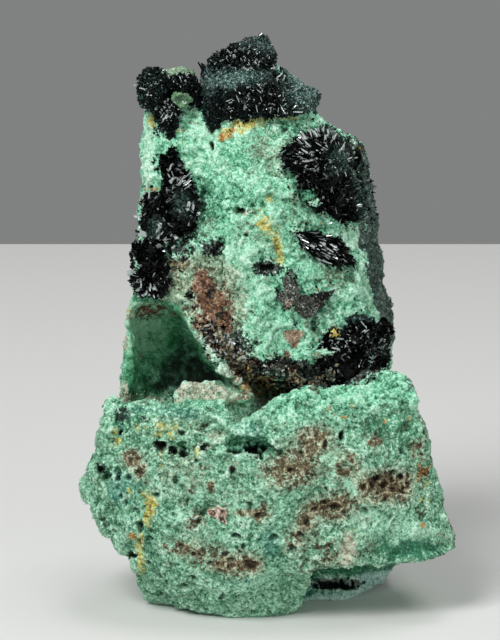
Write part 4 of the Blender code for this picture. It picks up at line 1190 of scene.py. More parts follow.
# The crust under each group's blades: the width of a bundle of like blades in mm, how far bundles
# lean apart, how flat they lie (0 upright, 1 along the crust), and how far the crust lies under
# the group's outline in mm.
CRUSTS = {
    "crown": (0.8, 0.7, 0.35, 0.0),
    "knob": (0.6, 0.6, 0.25, -0.05),
    "left_cluster": (0.9, 0.7, 0.55, 0.15),
    "right_fan": (0.9, 0.5, 0.6, 0.1),
    "right_spray": (0.7, 0.2, 0.72, 0.05),
    "low_cluster": (0.8, 0.7, 0.5, 0.0),
    "seam_crust": (0.6, 0.8, 0.4, 0.05),
    "face_crystals": (0.6, 0.6, 0.5, 0.1),
    "back_high_crust": (0.9, 0.7, 0.5, 0.1),
    "back_low_crust": (0.9, 0.7, 0.5, 0.1),
}

# Lumps that the crystal groups have besides their frame nodes, as the rock's.
GROUP_LUMPS = {
    "knob": [
        (-11.3, 50.9, 0.3, 1.55, 1.9, 1.5), (-8.2, 51.6, 0.6, 1.3, 0.85, 1.2),
        (-6.9, 50.4, 1.4, 0.6, 1.3, 0.9), (-9.4, 48.2, 0.2, 1.0, 1.6, 0.9),
        (-9.4, 46.4, 0.3, 0.5, 0.9, 0.6),
    ],
    "crown": [
        (-5.6, 50.0, 1.4, 0.8, 1.9, 1.2), (-5.3, 48.6, 0.0, 0.8, 1.3, 0.7),
        (-5.0, 47.3, -0.5, 0.55, 1.2, 0.5), (-4.1, 48.5, -0.6, 1.0, 0.9, 0.6),
        (-3.4, 48.9, 0.2, 1.6, 1.0, 0.8), (-0.6, 49.6, -0.6, 2.6, 1.0, 0.9),
        (2.6, 49.6, -0.2, 2.2, 1.0, 0.8), (-6.1, 52.6, 1.8, 0.35, 0.9, 0.4),
    ],
    "right_fan": [
        (5.6, 42.9, -1.4, 2.4, 3.0, 1.4), (3.2, 43.9, -2.2, 1.4, 1.6, 1.0),
        (2.4, 43.4, -1.8, 1.0, 0.8, 0.8), (7.4, 40.0, -0.8, 2.4, 2.6, 1.4),
        (5.6, 45.6, -1.0, 1.8, 1.2, 1.2), (7.6, 38.4, -0.6, 2.4, 1.0, 1.2),
    ],
    "right_spray": [
        (4.4, 35.6, -3.6, 1.4, 0.9, 0.8), (6.4, 34.4, -2.8, 1.8, 1.0, 0.8),
    ],
    "low_cluster": [
        (10.2, 26.6, 1.0, 2.3, 1.6, 2.0), (8.4, 25.2, 0.0, 1.8, 1.6, 1.6),
        (8.4, 23.0, 0.6, 3.0, 1.5, 1.8), (6.6, 22.4, 0.6, 1.6, 1.0, 1.4),
        (11.4, 24.6, 1.6, 1.1, 1.4, 1.4),
    ],
}

# Blades that all point away from a place, as seen, or that all lean one way.
FAN_MIDDLE = (7.2, 43.6)
FAN_REACH = (4.8, 45.2, 3.6, 2.8, 1.0)
SPRAY_LEAN = (0.9, -0.35, -0.42)

# The crusts under the blades: their cells, their faces, how dark they are, and how far blades
# reach past them in mm.
BED_CELL = 0.24 * MM
BED_TRIANGLES = 9000
CRUST_TONE = 0.15
BLADES_PAST = 0.3

# Places of the crystal groups with many blades painted as glints.
PAINTED_GLINT_PLACES = [
    (4.6, 45.6, 2.2, 2.0, 0.25), (4.6, 43.6, 2.0, 0.8, 0.3), (5.2, 35.2, 3.2, 1.4, 0.1),
    (-2.0, 54.0, 3.4, 1.7, 0.16), (-9.8, 35.6, 1.2, 1.2, 0.4), (-8.6, 41.4, 1.0, 0.8, 0.4),
    (-12.6, 32.2, 1.2, 1.4, 0.15), (-11.8, 30.8, 1.4, 0.6, 0.2), (2.0, 49.2, 3.4, 1.0, 0.15),
    (-9.6, 48.6, 0.8, 0.8, 0.35), (-11.4, 51.4, 1.2, 1.2, 0.1), (7.9, 25.3, 1.2, 1.0, 0.25),
    (11.4, 24.8, 1.0, 1.0, 0.35), (-3.6, 25.6, 1.6, 1.6, 0.3),
]

# Lighter teal, finely granular places of the crystal groups, and one that is ashen.
TEAL_PLACES = [
    (2.5, 30.8, 1.3, 2.4, 1.0), (4.0, 29.1, 1.5, 0.9, 0.7), (10.4, 41.0, 1.2, 4.4, 0.9),
    (-2.6, 51.9, 2.6, 0.8, 1.0), (3.5, 51.2, 1.6, 1.9, 0.75), (4.6, 49.6, 0.9, 1.2, 0.75),
    (2.9, 53.6, 0.7, 1.4, 0.8), (-0.2, 55.2, 1.8, 0.7, 0.4), (-5.6, 51.6, 0.8, 1.2, 0.5),
    (10.8, 45.4, 0.9, 1.6, 1.0), (8.4, 46.6, 2.0, 0.7, 0.8), (-8.2, 39.4, 0.9, 1.1, 0.45),
    (-11.0, 37.0, 0.8, 1.0, 0.4), (10.0, 43.0, 0.9, 3.2, 0.9), (7.4, 43.4, 1.1, 1.3, 0.5),
    (9.4, 28.1, 1.4, 0.5, 0.7), (11.8, 25.0, 0.8, 0.8, 0.5),
]

# Places of the crystal groups that are black all through.
INK_PLACES = [
    (0.2, 50.4, 2.6, 1.4, 1.0), (1.7, 51.6, 0.9, 1.2, 0.8), (-2.0, 53.8, 2.6, 1.2, 0.5),
    (-3.6, 49.0, 1.6, 1.4, 0.7), (-8.0, 51.2, 1.4, 0.9, 0.8), (-9.6, 48.0, 1.0, 2.0, 0.5),
    (6.8, 40.0, 3.6, 2.4, 1.0), (1.8, 43.8, 1.4, 2.0, 0.8), (9.0, 25.0, 3.6, 3.2, 0.9),
    (-12.6, 31.2, 2.4, 2.6, 0.7),
]


def unit(ways):
    return ways / np.maximum(np.linalg.norm(ways, axis=1), 1e-9)[:, None]


def bundle_ways(points, width):
    """A direction and a roll for each vertex, alike within a bundle of this width in mm."""
    ways = np.empty((len(points), 3))
    rolls = np.empty(len(points))
    for index, place in enumerate(points / (width * MM)):
        _, spots = noise.voronoi(Vector(place))
        ways[index] = noise.noise_vector(spots[0] * 5.7)
        rolls[index] = noise.noise(spots[0] * 9.1) * 6
    return unit(ways), rolls


# A crust's hem: how deep it ends up in the rock, and how near to the rock it has to lie to be
# let in fully and at all, in mm.
HEM_DEPTH = 0.25
HEM_END = 0.35
HEM_START = 0.75


def seats_on(rock, points):
    """For each point the place just inside the rock under it, and the rock's outward direction."""
    seats = np.zeros((len(points), 3))
    outs = np.zeros((len(points), 3))
    for index, place in enumerate(points):
        near, outward, _, _ = rock.find_nearest(Vector(place))
        seats[index] = near - outward * HEM_DEPTH * MM
        outs[index] = outward
    return seats, outs


def seat_crust(bed, points, normals, rock, shrink):
    """Makes the crust knobbly and lets its hem into the rock.

    Gives back how far each point faces away from the rock, and how far it is part of the hem.
    """
    seats, outs = seats_on(rock, points)
    gaps = np.einsum("ij,ij->i", points - seats, outs) - HEM_DEPTH * MM
    facing = np.einsum("ij,ij->i", normals, outs)
    hem = smooth_step(-gaps, -HEM_START * MM, -HEM_END * MM) * smooth_step(-facing, -0.6, 0.2)
    knobbly = field(points, 1.9) * 0.4 + field(points, 0.9) * 0.36 + field(points, 0.45) * 0.18
    shrunk = cut_back(points - normals * ((shrink - knobbly) * MM)[:, None], BLADES_PAST)
    put_points(bed, shrunk * (1 - hem[:, None]) + seats * hem[:, None])
    return facing, hem


def lying_ways(node, points, ways):
    """Where a group's blades point as far as they lie flat, from the ways of their bundles."""
    if node == "right_fan":
        out = unit(points - np.array(seen(*FAN_MIDDLE, points[:, 1].mean() / MM)))
        radial = cover_at_any_depth(points, [FAN_REACH])[:, None]
        return ways * (1 - radial) + out * radial
    if node == "right_spray":
        return np.tile(SPRAY_LEAN, (len(points), 1))
    return ways


def crystal_bed(node, rock):
    """The crust that a group's blades grow from, seated on the rock."""
    bundle, fan, flat, shrink = CRUSTS[node]
    bed = reskinned(node_copy(node, GROUP_LUMPS.get(node, ())), BED_CELL)
    bed.name = node
    points = softened(points_of(bed), bed, 2)
    put_points(bed, points)
    normals = normals_of(bed)
    facing, hem = seat_crust(bed, points, normals, rock, shrink)
    teal = cover_at_any_depth(points, TEAL_PLACES)
    mark(bed, "teal", teal)
    mark(bed, "ink", cover_at_any_depth(points, INK_PLACES))
    # Where blades are painted as glints.
    mark(bed, "silver", cover_at_any_depth(points, PAINTED_GLINT_PLACES))
    mark(bed, "cover", smooth_step(facing, -0.3, 0.2) * (1 - hem) * (1 + teal))
    mark(bed, "reach", (1 + 0.5 * field(points, 1.6)) * (1 - 0.6 * teal))
    mark(bed, "tone", np.full(len(points), CRUST_TONE))
    ways, rolls = bundle_ways(points, bundle)
    along = lying_ways(node, points, ways)
    along = along - normals * np.einsum("ij,ij->i", along, normals)[:, None]
    mark(bed, "roll", rolls)
    mark_ways(bed, "growth", unit((normals + ways * fan) * (1 - flat) + unit(along) * flat))
    holder = new_object(node, bed)
    thin(holder, BED_TRIANGLES)
    bed = holder.data
    bpy.data.objects.remove(holder)
    return bed


def growth_values(blades, roll, seed, cover, finish):
    """The growth tree's inputs for blades that are given as in GROWTHS."""
    density, length, width, thickness, tilt = blades
    return {
        "Density": density / MM ** 2,
        "Length": length * MM,
        "Width": width * MM,
        "Thickness": thickness * MM,
        "Tilt": tilt,
        "Roll": roll,
        "Seed": seed,
        "Cover": cover,
        "Finish": finish,
    }


def make_crystals(node, tree, finish, rock, seed):
    """One crystal group: its crust and all its blades."""
    values = growth_values(GROWTHS[node], 0.8, seed, "cover", finish)
    return grown(node + "_blades", crystal_bed(node, rock), tree, values)


# Single blades that stand out in the front view. Each bundle: where it starts and the radius of
# its roots, the way it points (degrees, anticlockwise from right) and its fan, how many blades,
# their length and width in mm, and how strongly they are painted as glints.
BUNDLES = [
    (-8.5, 41.2, 0.5, 40, 14, 12, 1.5, 0.10, 1.0),
    (-10.4, 36.0, 0.6, 60, 25, 4, 1.4, 0.42, 1.0),
    (-9.8, 35.6, 0.7, 35, 30, 5, 1.0, 0.4, 0.95),
    (-9.9, 34.9, 0.4, 50, 25, 3, 0.9, 0.28, 0.95),
    (-12.2, 36.4, 0.4, 150, 30, 3, 0.9, 0.45, 0.95),
    (-13.2, 32.6, 0.4, 170, 40, 3, 0.8, 0.34, 0.95),
    (-12.0, 31.2, 0.8, 230, 50, 8, 0.9, 0.2, 0.9),
    (-11.4, 39.8, 0.9, 120, 40, 6, 1.0, 0.22, 0.9),
    (-7.4, 38.8, 0.6, 40, 50, 5, 0.8, 0.3, 0.9),
    (-9.6, 42.6, 0.7, 100, 40, 6, 0.8, 0.16, 0.85),
    (-12.7, 38.2, 0.5, 140, 40, 4, 0.8, 0.3, 0.9),
    (4.2, 43.9, 0.5, 165, 10, 6, 0.9, 0.17, 1.0),
    (5.2, 43.3, 0.5, 178, 10, 6, 0.9, 0.17, 1.0),
    (4.6, 42.7, 0.6, 190, 10, 4, 0.8, 0.16, 1.0),
    (4.2, 45.6, 0.5, 130, 10, 6, 0.9, 0.16, 1.0),
    (5.0, 46.2, 0.5, 112, 12, 7, 0.9, 0.16, 1.0),
    (6.0, 46.0, 0.5, 96, 12, 7, 0.8, 0.18, 0.95),
    (7.0, 45.6, 0.6, 78, 16, 5, 0.7, 0.16, 0.9),
    (4.0, 44.8, 0.5, 148, 10, 5, 0.9, 0.16, 1.0),
    (8.6, 44.0, 0.5, 20, 20, 4, 0.6, 0.16, 0.95),
    (9.2, 42.4, 0.7, 330, 60, 7, 0.5, 0.16, 0.8),
    (5.9, 44.8, 0.6, 135, 16, 6, 0.8, 0.12, 1.0),
    (6.4, 43.2, 0.7, 175, 20, 6, 0.8, 0.1, 1.0),
    (5.4, 42.4, 0.5, 200, 16, 4, 0.7, 0.1, 0.9),
    (7.8, 44.6, 0.5, 60, 26, 5, 0.7, 0.1, 0.95),
    (7.6, 42.4, 0.6, 270, 30, 3, 0.6, 0.1, 0.8),
    (3.0, 42.8, 0.5, 175, 30, 5, 0.6, 0.2, 0.9),
    (9.0, 39.3, 0.25, 8, 10, 3, 0.7, 0.2, 1.0),
    (4.8, 39.0, 0.3, 25, 16, 4, 0.6, 0.18, 1.0),
    (6.2, 37.9, 0.5, 5, 10, 3, 0.6, 0.14, 0.9),
    (8.6, 38.0, 0.9, 15, 30, 5, 0.5, 0.14, 0.8),
    (6.4, 40.8, 1.2, 60, 90, 6, 0.4, 0.14, 0.7),
    (3.4, 36.2, 0.35, 335, 10, 5, 0.8, 0.18, 1.0),
    (4.2, 35.6, 0.5, 335, 10, 7, 0.8, 0.18, 1.0),
    (5.2, 35.2, 0.6, 340, 10, 8, 0.8, 0.2, 1.0),
    (6.2, 34.8, 0.6, 335, 12, 8, 0.8, 0.18, 1.0),
    (5.4, 34.2, 0.6, 342, 12, 6, 0.8, 0.18, 1.0),
    (7.2, 34.0, 0.6, 335, 14, 6, 0.7, 0.16, 0.95),
    (-6.2, 52.6, 0.2, 118, 8, 5, 1.2, 0.14, 0.5),
    (-3.4, 54.4, 0.6, 80, 50, 6, 0.5, 0.13, 0.95),
    (-1.6, 53.2, 0.9, 120, 60, 8, 0.45, 0.12, 0.95),
    (0.8, 52.5, 0.5, 60, 50, 4, 0.6, 0.12, 0.95),
    (0.8, 54.2, 0.7, 70, 50, 5, 0.45, 0.12, 0.9),
    (-1.6, 50.0, 1.2, 30, 120, 10, 0.9, 0.09, 1.0),
    (1.6, 49.4, 1.0, 10, 80, 9, 1.0, 0.09, 1.0),
    (1.4, 51.8, 0.5, 75, 30, 6, 0.9, 0.1, 0.95),
    (0.2, 50.8, 0.6, 130, 40, 6, 0.8, 0.09, 0.95),
    (2.6, 50.6, 0.6, 20, 50, 6, 0.8, 0.1, 0.95),
    (-3.4, 49.4, 0.5, 200, 60, 6, 0.6, 0.12, 0.95),
    (3.2, 48.5, 0.5, 20, 30, 6, 1.0, 0.12, 1.0),
    (-4.2, 48.3, 0.9, 250, 60, 6, 0.6, 0.1, 0.6),
    (-9.6, 48.6, 0.4, 235, 16, 6, 1.0, 0.08, 1.0),
    (-12.0, 51.2, 0.7, 130, 90, 7, 0.6, 0.14, 0.9),
    (-8.0, 51.6, 0.6, 80, 90, 6, 0.6, 0.14, 0.9),
    (7.9, 25.3, 0.7, 150, 90, 8, 0.9, 0.16, 1.0),
    (9.6, 26.4, 0.7, 60, 80, 8, 0.8, 0.14, 0.95),
    (11.2, 24.9, 0.6, 20, 60, 8, 0.9, 0.16, 1.0),
    (10.2, 23.4, 0.8, 290, 60, 7, 0.8, 0.14, 0.9),
    (6.4, 25.0, 0.7, 190, 60, 7, 0.8, 0.14, 0.9),
    (-4.0, 25.2, 1.1, 200, 180, 14, 0.5, 0.14, 0.9),
    (-4.2, 25.6, 1.0, 90, 180, 10, 0.5, 0.34, 0.85),
    (-2.8, 24.0, 1.0, 90, 180, 10, 0.5, 0.34, 0.85),
    (1.4, 23.2, 1.6, 90, 180, 14, 0.45, 0.16, 0.95),
    (2.4, 22.6, 1.6, 90, 180, 8, 0.4, 0.3, 0.85),
    (2.4, 30.2, 0.9, 90, 180, 12, 0.5, 0.14, 0.9),
    (-3.0, 14.15, 0.4, 0, 12, 4, 0.8, 0.09, 0.85),
    (-9.6, 14.5, 0.2, 70, 30, 3, 0.6, 0.3, 0.6),
]

# Heaps of single grains: where, the radius of the heap, how many, their size in mm, and the stain
# that they are made of.
HEAPS = [
    (7.0, 26.5, 0.4, 30, 0.34, ("ochre", "ochre", "amber")),
    (-14.3, 20.2, 0.8, 26, 0.3, ("chalk", "sage")),
    (-12.4, 19.9, 1.0, 30, 0.26, ("chalk", "sage")),
    (-10.3, 19.8, 1.0, 30, 0.26, ("chalk", "pale")),
    (-7.6, 20.5, 0.8, 26, 0.3, ("chalk", "sage", "pale")),
    (-6.2, 20.8, 0.8, 26, 0.3, ("chalk", "sage", "pale")),
    (-4.8, 20.4, 0.8, 26, 0.3, ("chalk", "sage", "pale")),
    (2.2, 24.3, 0.25, 8, 0.3, ("tan",)),
    (2.25, 29.4, 0.45, 26, 0.22, ("tan",)),
    (2.9, 26.1, 0.7, 40, 0.24, ("tan",)),
    (15.7, 12.6, 0.9, 30, 0.26, ("amber", "umber")),
    (-13.3, 6.2, 0.3, 14, 0.3, ("amber",)),
    (-11.4, 9.4, 0.7, 26, 0.26, ("ochre",)),
    (-9.4, 14.8, 0.35, 12, 0.34, ("soot", "deep")),
    (-6.1, 15.2, 0.5, 12, 0.32, ("soot",)),
    (-3.9, 46.4, 0.6, 20, 0.26, ("amber", "ochre")),
    (0.6, 36.9, 0.8, 26, 0.22, ("ochre",)),
    (-8.6, 31.6, 1.4, 40, 0.26, ("rust", "sage")),
    (-5.3, 29.6, 1.2, 70, 0.22, ("rust", "rust", "amber", "umber")),
    (-4.5, 27.4, 0.8, 34, 0.22, ("rust", "amber", "soot")),
    (12.0, 11.2, 1.8, 60, 0.26, ("umber", "rust")),
    (6.4, 8.8, 1.6, 44, 0.26, ("umber", "sage")),
    (3.6, 13.4, 2.2, 60, 0.24, ("umber", "sage", "chalk")),
    (-2.6, 3.3, 1.8, 50, 0.24, ("umber", "rust")),
]

# Crumbs along the seam under the upper block: corners of a line, as seen in mm, and for each its
# crumbs' stains.
SEAM_LINE = [
    (-4.9, 26.4, ("soot", "chalk", "umber", "soot")),
    (-4.0, 25.0, ("soot", "soot", "umber", "soot", "tan")),
    (-2.8, 23.9, ("soot", "chalk", "umber", "soot", "soot")),
    (-1.7, 22.6, ("umber", "amber", "soot", "soot")),
    (-1.0, 21.4, ("umber", "amber", "tan", "rust")),
    (-0.6, 21.6, ("umber", "amber", "soot", "rust")),
    (0.8, 21.0, ("umber", "amber", "rust", "soot")),
    (1.4, 23.0, ("soot", "soot", "chalk", "soot")),
    (3.0, 22.0, ("soot", "tan", "umber", "soot")),
    (5.0, 21.7, ("soot", "tan", "umber", "soot")),
    (6.4, 22.2, ("soot", "soot", "umber")),
]
CRUMBS_EACH = 32
CRUMB_SIZE = 0.54


class Heap:
    """Copies of small shapes, gathered for one mesh."""

    def __init__(self):
        self.corners = []
        self.faces = []
        self.marks = []

    def add(self, shape, matrix, marks):
        first = len(self.corners)
        self.corners += [matrix @ vertex.co for vertex in shape.data.vertices]
        self.faces += [[first + corner for corner in face.vertices] for face in shape.data.polygons]
        self.marks += [marks] * len(shape.data.vertices)

    def piece(self, name, finish):
        mesh = bpy.data.meshes.new(name)
        mesh.from_pydata(self.corners, [], self.faces)
        for kind in sorted({kind for marks in self.marks for kind in marks}):
            mark(mesh, kind, np.array([marks.get(kind, 0) for marks in self.marks]))
        mesh.materials.append(finish)
        return new_object(name, mesh)


def first_hit(across, up, trees):
    """The nearest surface that shows at a place of the front view, and its outward direction."""
    hits = [tree.ray_cast(eye(), sight(across, up)) for tree in trees]
    hits = [(distance, place, outward) for place, outward, _, distance in hits if place is not None]
    return min(hits, key=lambda hit: hit[0])[1:] if hits else (None, None)


def make_bundles(blades, trees, finish):
    """The single blades that stand out."""
    dice = random.Random(11)
    heap = Heap()
    sideways = Vector((1, 0, 0))
    upward = sideways.cross(look_direction())
    for across, up, radius, angle, fan, count, length, width, silver in BUNDLES:
        for _ in range(count):
            root_across = across + dice.uniform(-radius, radius)
            root_up = up + dice.uniform(-radius, radius)
            place, _ = first_hit(root_across, root_up, trees)
            if place is None:
                continue
            turn = math.radians(angle + dice.uniform(-fan, fan))
            way = sideways * math.cos(turn) + upward * math.sin(turn)
            way = (way - look_direction() * dice.uniform(0.0, 0.4)).normalized()
            broad = way.cross(look_direction()).normalized()
            broad.rotate(Quaternion(way, dice.uniform(-0.6, 0.6)))
            turned = Matrix((broad, way.cross(broad), way)).transposed().to_4x4()
            long = length * dice.uniform(0.6, 1.15) * MM
            wide = width * dice.uniform(0.7, 1.3) * MM
            size = Matrix.Diagonal((wide, wide * 0.35, long, 1))
            root = Matrix.Translation(place + look_direction() * 0.08 * MM)
            marks = {"tone": silver * dice.uniform(0.7, 1), "silver": silver}
            heap.add(dice.choice(blades), root @ turned @ size, marks)
    return heap.piece("single_blades", finish)


def make_heaps(grains, trees, finish):
    """The single grains of the brightest stains, and the crumbs of the seam."""
    dice = random.Random(23)
    heap = Heap()
    seam = [(across, up, 0.9, CRUMBS_EACH, CRUMB_SIZE, stains) for across, up, stains in SEAM_LINE]
    for across, up, radius, count, size, stains in HEAPS + seam:
        for _ in range(count):
            root_across = across + dice.gauss(0, radius / 2)
            root_up = up + dice.gauss(0, radius / 2)
            place, outward = first_hit(root_across, root_up, trees)
            if place is None:
                continue
            turn = Euler([dice.uniform(0, math.tau) for _ in range(3)]).to_matrix().to_4x4()
            grain = Matrix.Diagonal((*[size * dice.uniform(0.5, 1.25) * MM for _ in range(3)], 1))
            matrix = Matrix.Translation(place + outward * size * 0.15 * MM) @ turn @ grain
            heap.add(dice.choice(grains), matrix, {"tone": dice.random(), dice.choice(stains): 1})
    return heap.piece("single_grains", finish)


# Small green lumps between the crystals: middle across and up, depth, half sizes across, up and
# deep, in mm, and the stain that they have.
GREEN_LUMPS = [
    (-8.4, 52.5, 0.8, 1.25, 0.5, 0.8, "sage"),
    (4.5, 40.3, -4.0, 0.75, 0.8, 0.45, "deep"),
    (5.0, 39.6, -4.0, 0.6, 0.5, 0.45, "pale"),
    (6.2, 24.6, -5.5, 0.9, 0.32, 0.4, "pale"),
    (5.2, 24.3, -5.5, 0.5, 0.28, 0.4, "sage"),
]
GLASSY_LUMP = (-8.35, 49.85, -0.2, 0.98, 0.82, 0.55)


def rough_ball(across, up, depth, wide, high, deep, bumps):
    """A closed lump with bumps."""
    shape = bmesh.new()
    bmesh.ops.create_icosphere(shape, subdivisions=4, radius=1)
    middle = seen(across, up, depth)
    for vertex in shape.verts:
        way = vertex.co.copy()
        swell = 1 + bumps * noise.noise(way * 1.6 + middle * 900) + bumps * 0.5 * noise.noise(way * 5)
        vertex.co = middle + Vector((way.x * wide, way.y * deep, way.z * high)) * swell * MM
    return shape


def rounded_piece(mesh, finish):
    """A piece of a mesh, smoothly shaded."""
    mesh.materials.append(finish)
    piece = new_object(mesh.name, mesh)
    smooth_shaded(piece)
    return piece


def make_green_lumps(finish):
    """The green lumps between the crystals, as one piece."""
    whole = bmesh.new()
    stains = {}
    for *place, stain in GREEN_LUMPS:
        part = mesh_from(rough_ball(*place, 0.55), "part")
        first = len(whole.verts)
        whole.from_mesh(part)
        stains.setdefault(stain, []).append((first, first + len(part.vertices)))
        bpy.data.meshes.remove(part)
    mesh = mesh_from(whole, "green_lumps")
    mark(mesh, "tone", np.full(len(mesh.vertices), 0.5))
    for stain, ranges in stains.items():
        cover = np.zeros(len(mesh.vertices))
        for first, end in ranges:
            cover[first:end] = 0.8
        mark(mesh, stain, cover)
    return rounded_piece(mesh, finish)


def make_glassy_lump(finish):
    """The pale green glassy bowl among the upper balls of crystal."""
    across, up, depth, wide, high, deep = GLASSY_LUMP
    mesh = mesh_from(rough_ball(*GLASSY_LUMP, 0.34), "glassy_lump")
    points = points_of(mesh)
    shown = as_seen(points)
    off = np.hypot((shown[:, 0] - across) / wide, (shown[:, 1] - up) / high)
    facing = points[:, 1] < depth * MM
    bowl = (1 - smooth_step(off, 0.2, 0.85)) * facing
    points[:, 1] += bowl * deep * 1.1 * MM
    put_points(mesh, points)
    # How far each point lies in the dish; the finish darkens it there as painted shade.
    mark(mesh, "bowl", bowl)
    return rounded_piece(mesh, finish)


GLASS_RAMP = ramp_of((20, 42, 30), (58, 96, 68), (110, 150, 110), (176, 206, 162))


def glassy_finish():
    make = Finish("pale_green_glass")
    cloud = make.noise(0.7, detail=3)
    # The dish's middle is darker: painted shade.
    shade = 0.56 - make.attribute("bowl") * 0.25 + (cloud - 0.5) * 1.7
    return make.set(
        Base_Color=make.ramp(shade, GLASS_RAMP),
        Roughness=0.12 + cloud * 0.2,
        Coat_Weight=0.5,
    )


# The shiny fleck on the ledge's face: its outline round its middle in mm as seen.
FLECK_AT = (-4.7, 8.4)
FLECK_OUTLINE = [
    (-1.15, 0.35), (-0.9, 0.6), (-0.35, 0.55), (0.0, 0.95), (0.35, 0.6), (0.8, 0.55), (0.95, 0.1),
    (0.7, -0.35), (0.95, -1.0), (0.45, -0.75), (0.1, -0.55), (-0.4, -0.25), (-0.95, -0.05),
]
FLECK_RISE = 0.22

# The fleck's rings from its underside over its rim to its dished middle: how far out each lies,
# how high as a share of FLECK_RISE, and how far it is part of the pale rim.
FLECK_RINGS = [(1.0, -0.25, 1), (1.0, 1.0, 1), (0.88, 1.3, 0.8), (0.7, 0.3, 0.1), (0.3, 0.8, 0)]


def make_fleck(surface, finish):
    """A thin dished flake with a pale raised rim."""
    shape = bmesh.new()
    rings = []
    for share, height, _ in FLECK_RINGS:
        ring = []
        for across, up in FLECK_OUTLINE:
            place, _ = first_hit(FLECK_AT[0] + across * share, FLECK_AT[1] + up * share, [surface])
            ring.append(shape.verts.new(place + Vector((0, -height * FLECK_RISE * MM, 0))))
        rings.append(ring)
    for low, high in zip(rings, rings[1:]):
        for index in range(len(low)):
            after = (index + 1) % len(low)
            shape.faces.new((low[index], low[after], high[after], high[index]))
    shape.faces.new(rings[-1])
    shape.faces.new(list(reversed(rings[0])))
    bmesh.ops.recalc_face_normals(shape, faces=shape.faces)
    bmesh.ops.triangulate(shape, faces=shape.faces)
    mesh = mesh_from(shape, "shiny_fleck")
    mark(mesh, "rim", np.repeat([rim for _, _, rim in FLECK_RINGS], len(FLECK_OUTLINE)))
    mesh.materials.append(finish)
    return new_object("shiny_fleck", mesh)


# The fleck's colours from its dark mauve middle to its pale rim; the near-white top of the ramp gives
# painted glints.
FLECK_RAMP = ramp_of((44, 32, 32), (122, 96, 90), (212, 186, 164), (252, 240, 222))


def fleck_finish():
    make = Finish("shiny_fleck")
    speck = make.noise(0.3, detail=3)
    # The brightest specks are painted glints.
    shade = make.attribute("rim") * 0.56 + speck * 2.4 - 1.0
    return make.set(
        Base_Color=make.ramp(shade, FLECK_RAMP),
        Roughness=0.2 + speck * 0.3,
        Normal=make.relief(make.noise(0.2, detail=3), 0.05),
    )


# Small dark crystals strewn on the rock.
STRAY_PLACES = [
    (-5.3, 35.2, 1.2, 1.1, 1.0), (-7.4, 30.0, 0.9, 0.8, 1.0), (0.2, 33.1, 1.5, 0.8, 1.0),
    (2.4, 31.0, 0.8, 2.2, 0.8), (4.4, 29.2, 1.3, 0.8, 0.9), (2.9, 44.6, 1.0, 1.0, 0.6),
    (-1.0, 48.8, 1.6, 0.5, 0.6), (-9.6, 47.0, 1.0, 1.0, 0.8), (-10.6, 43.4, 0.8, 1.6, 0.7),
    (-8.6, 35.6, 2.0, 1.4, 0.5), (-9.4, 15.0, 0.6, 0.4, 0.6), (9.0, 23.2, 3.4, 1.8, 0.8),
    (-3.6, 25.2, 2.2, 2.2, 0.8), (1.4, 23.0, 3.6, 1.2, 0.8), (8.2, 40.6, 3.2, 4.6, 0.5),
    (10.0, 42.4, 1.4, 4.6, 0.5), (8.2, 22.4, 3.0, 1.2, 1.0),
]


# How far from a crystal group strays lie, and how far off a group is looked for, in mm.
STRAY_REACH = 1.4
STRAY_SEARCH = 1.6


def strew(rock, groups):
    """Marks on the rock where grains grow and where strays of the crystal groups lie."""
    mesh = rock.data
    points = points_of(mesh)
    near = np.zeros(len(points))
    for index, place in enumerate(points):
        found = [group.find_nearest(Vector(place), STRAY_SEARCH * MM) for group in groups]
        distance = min(hit[3] or 9 for hit in found)
        near[index] = max(0, 1 - distance / (STRAY_REACH * MM))
    patchy = smooth_step(field(points, 0.8), -0.15, 0.35)
    depths = met_depths(tree_of(mesh), STRAY_PLACES)
    stray = patch_cover(as_seen(points), STRAY_PLACES, depths)
    mark(mesh, "stray", np.maximum(near ** 2 * 0.9, stray) * patchy)
    ways, rolls = bundle_ways(points, 0.7)
    mark(mesh, "roll", rolls)
    mark_ways(mesh, "growth", unit(normals_of(mesh) + ways * 0.9))


# Grains and strays on the rock, given as in GROWTHS.
ROCK_GRAINS = (6.1, 0.26, 0.24, 0.2, 1.5)
STRAYS = (18, 0.34, 0.19, 0.09, 0.6)


def make_grains(rock, tree, finish):
    """The rock's loose crystalline grains."""
    values = growth_values(ROCK_GRAINS, 3.0, 3, "cover", finish)
    return grown("rock_grains", rock.data.copy(), tree, values)


def make_strays(rock, tree, finish):
    """Small dark crystals round the groups."""
    values = growth_values(STRAYS, 0.6, 5, "stray", finish)
    return grown("stray_crystals", rock.data.copy(), tree, values)


CRYSTAL_RAMP = ramp_of((1, 2, 2), (1, 2, 2), (2, 4, 4), (5, 11, 10), (20, 32, 29))
CROWN_RAMP = ramp_of((2, 4, 4), (4, 9, 8), (9, 22, 20), (32, 60, 54), (110, 140, 132))
TEAL_SAND_RAMP = ramp_of((16, 32, 29), (64, 98, 91), (120, 156, 147), (194, 214, 207))
CROWN_SAND_RAMP = ramp_of((22, 42, 39), (90, 126, 118), (154, 188, 179), (212, 228, 222))
CRUST_RAMP = ramp_of((3, 3, 3), (14, 11, 8), (50, 36, 26), (110, 94, 76), (226, 218, 204))
GREY_RAMP = ramp_of((5, 7, 6), (24, 28, 26), (66, 72, 67), (136, 140, 132))
ASH_RAMP = ramp_of((28, 31, 29), (84, 90, 82), (128, 132, 120), (192, 188, 174))
# The pale colour that blades painted as glints get.
PAINTED_GLINT_COLOUR = srgb(184, 194, 191)


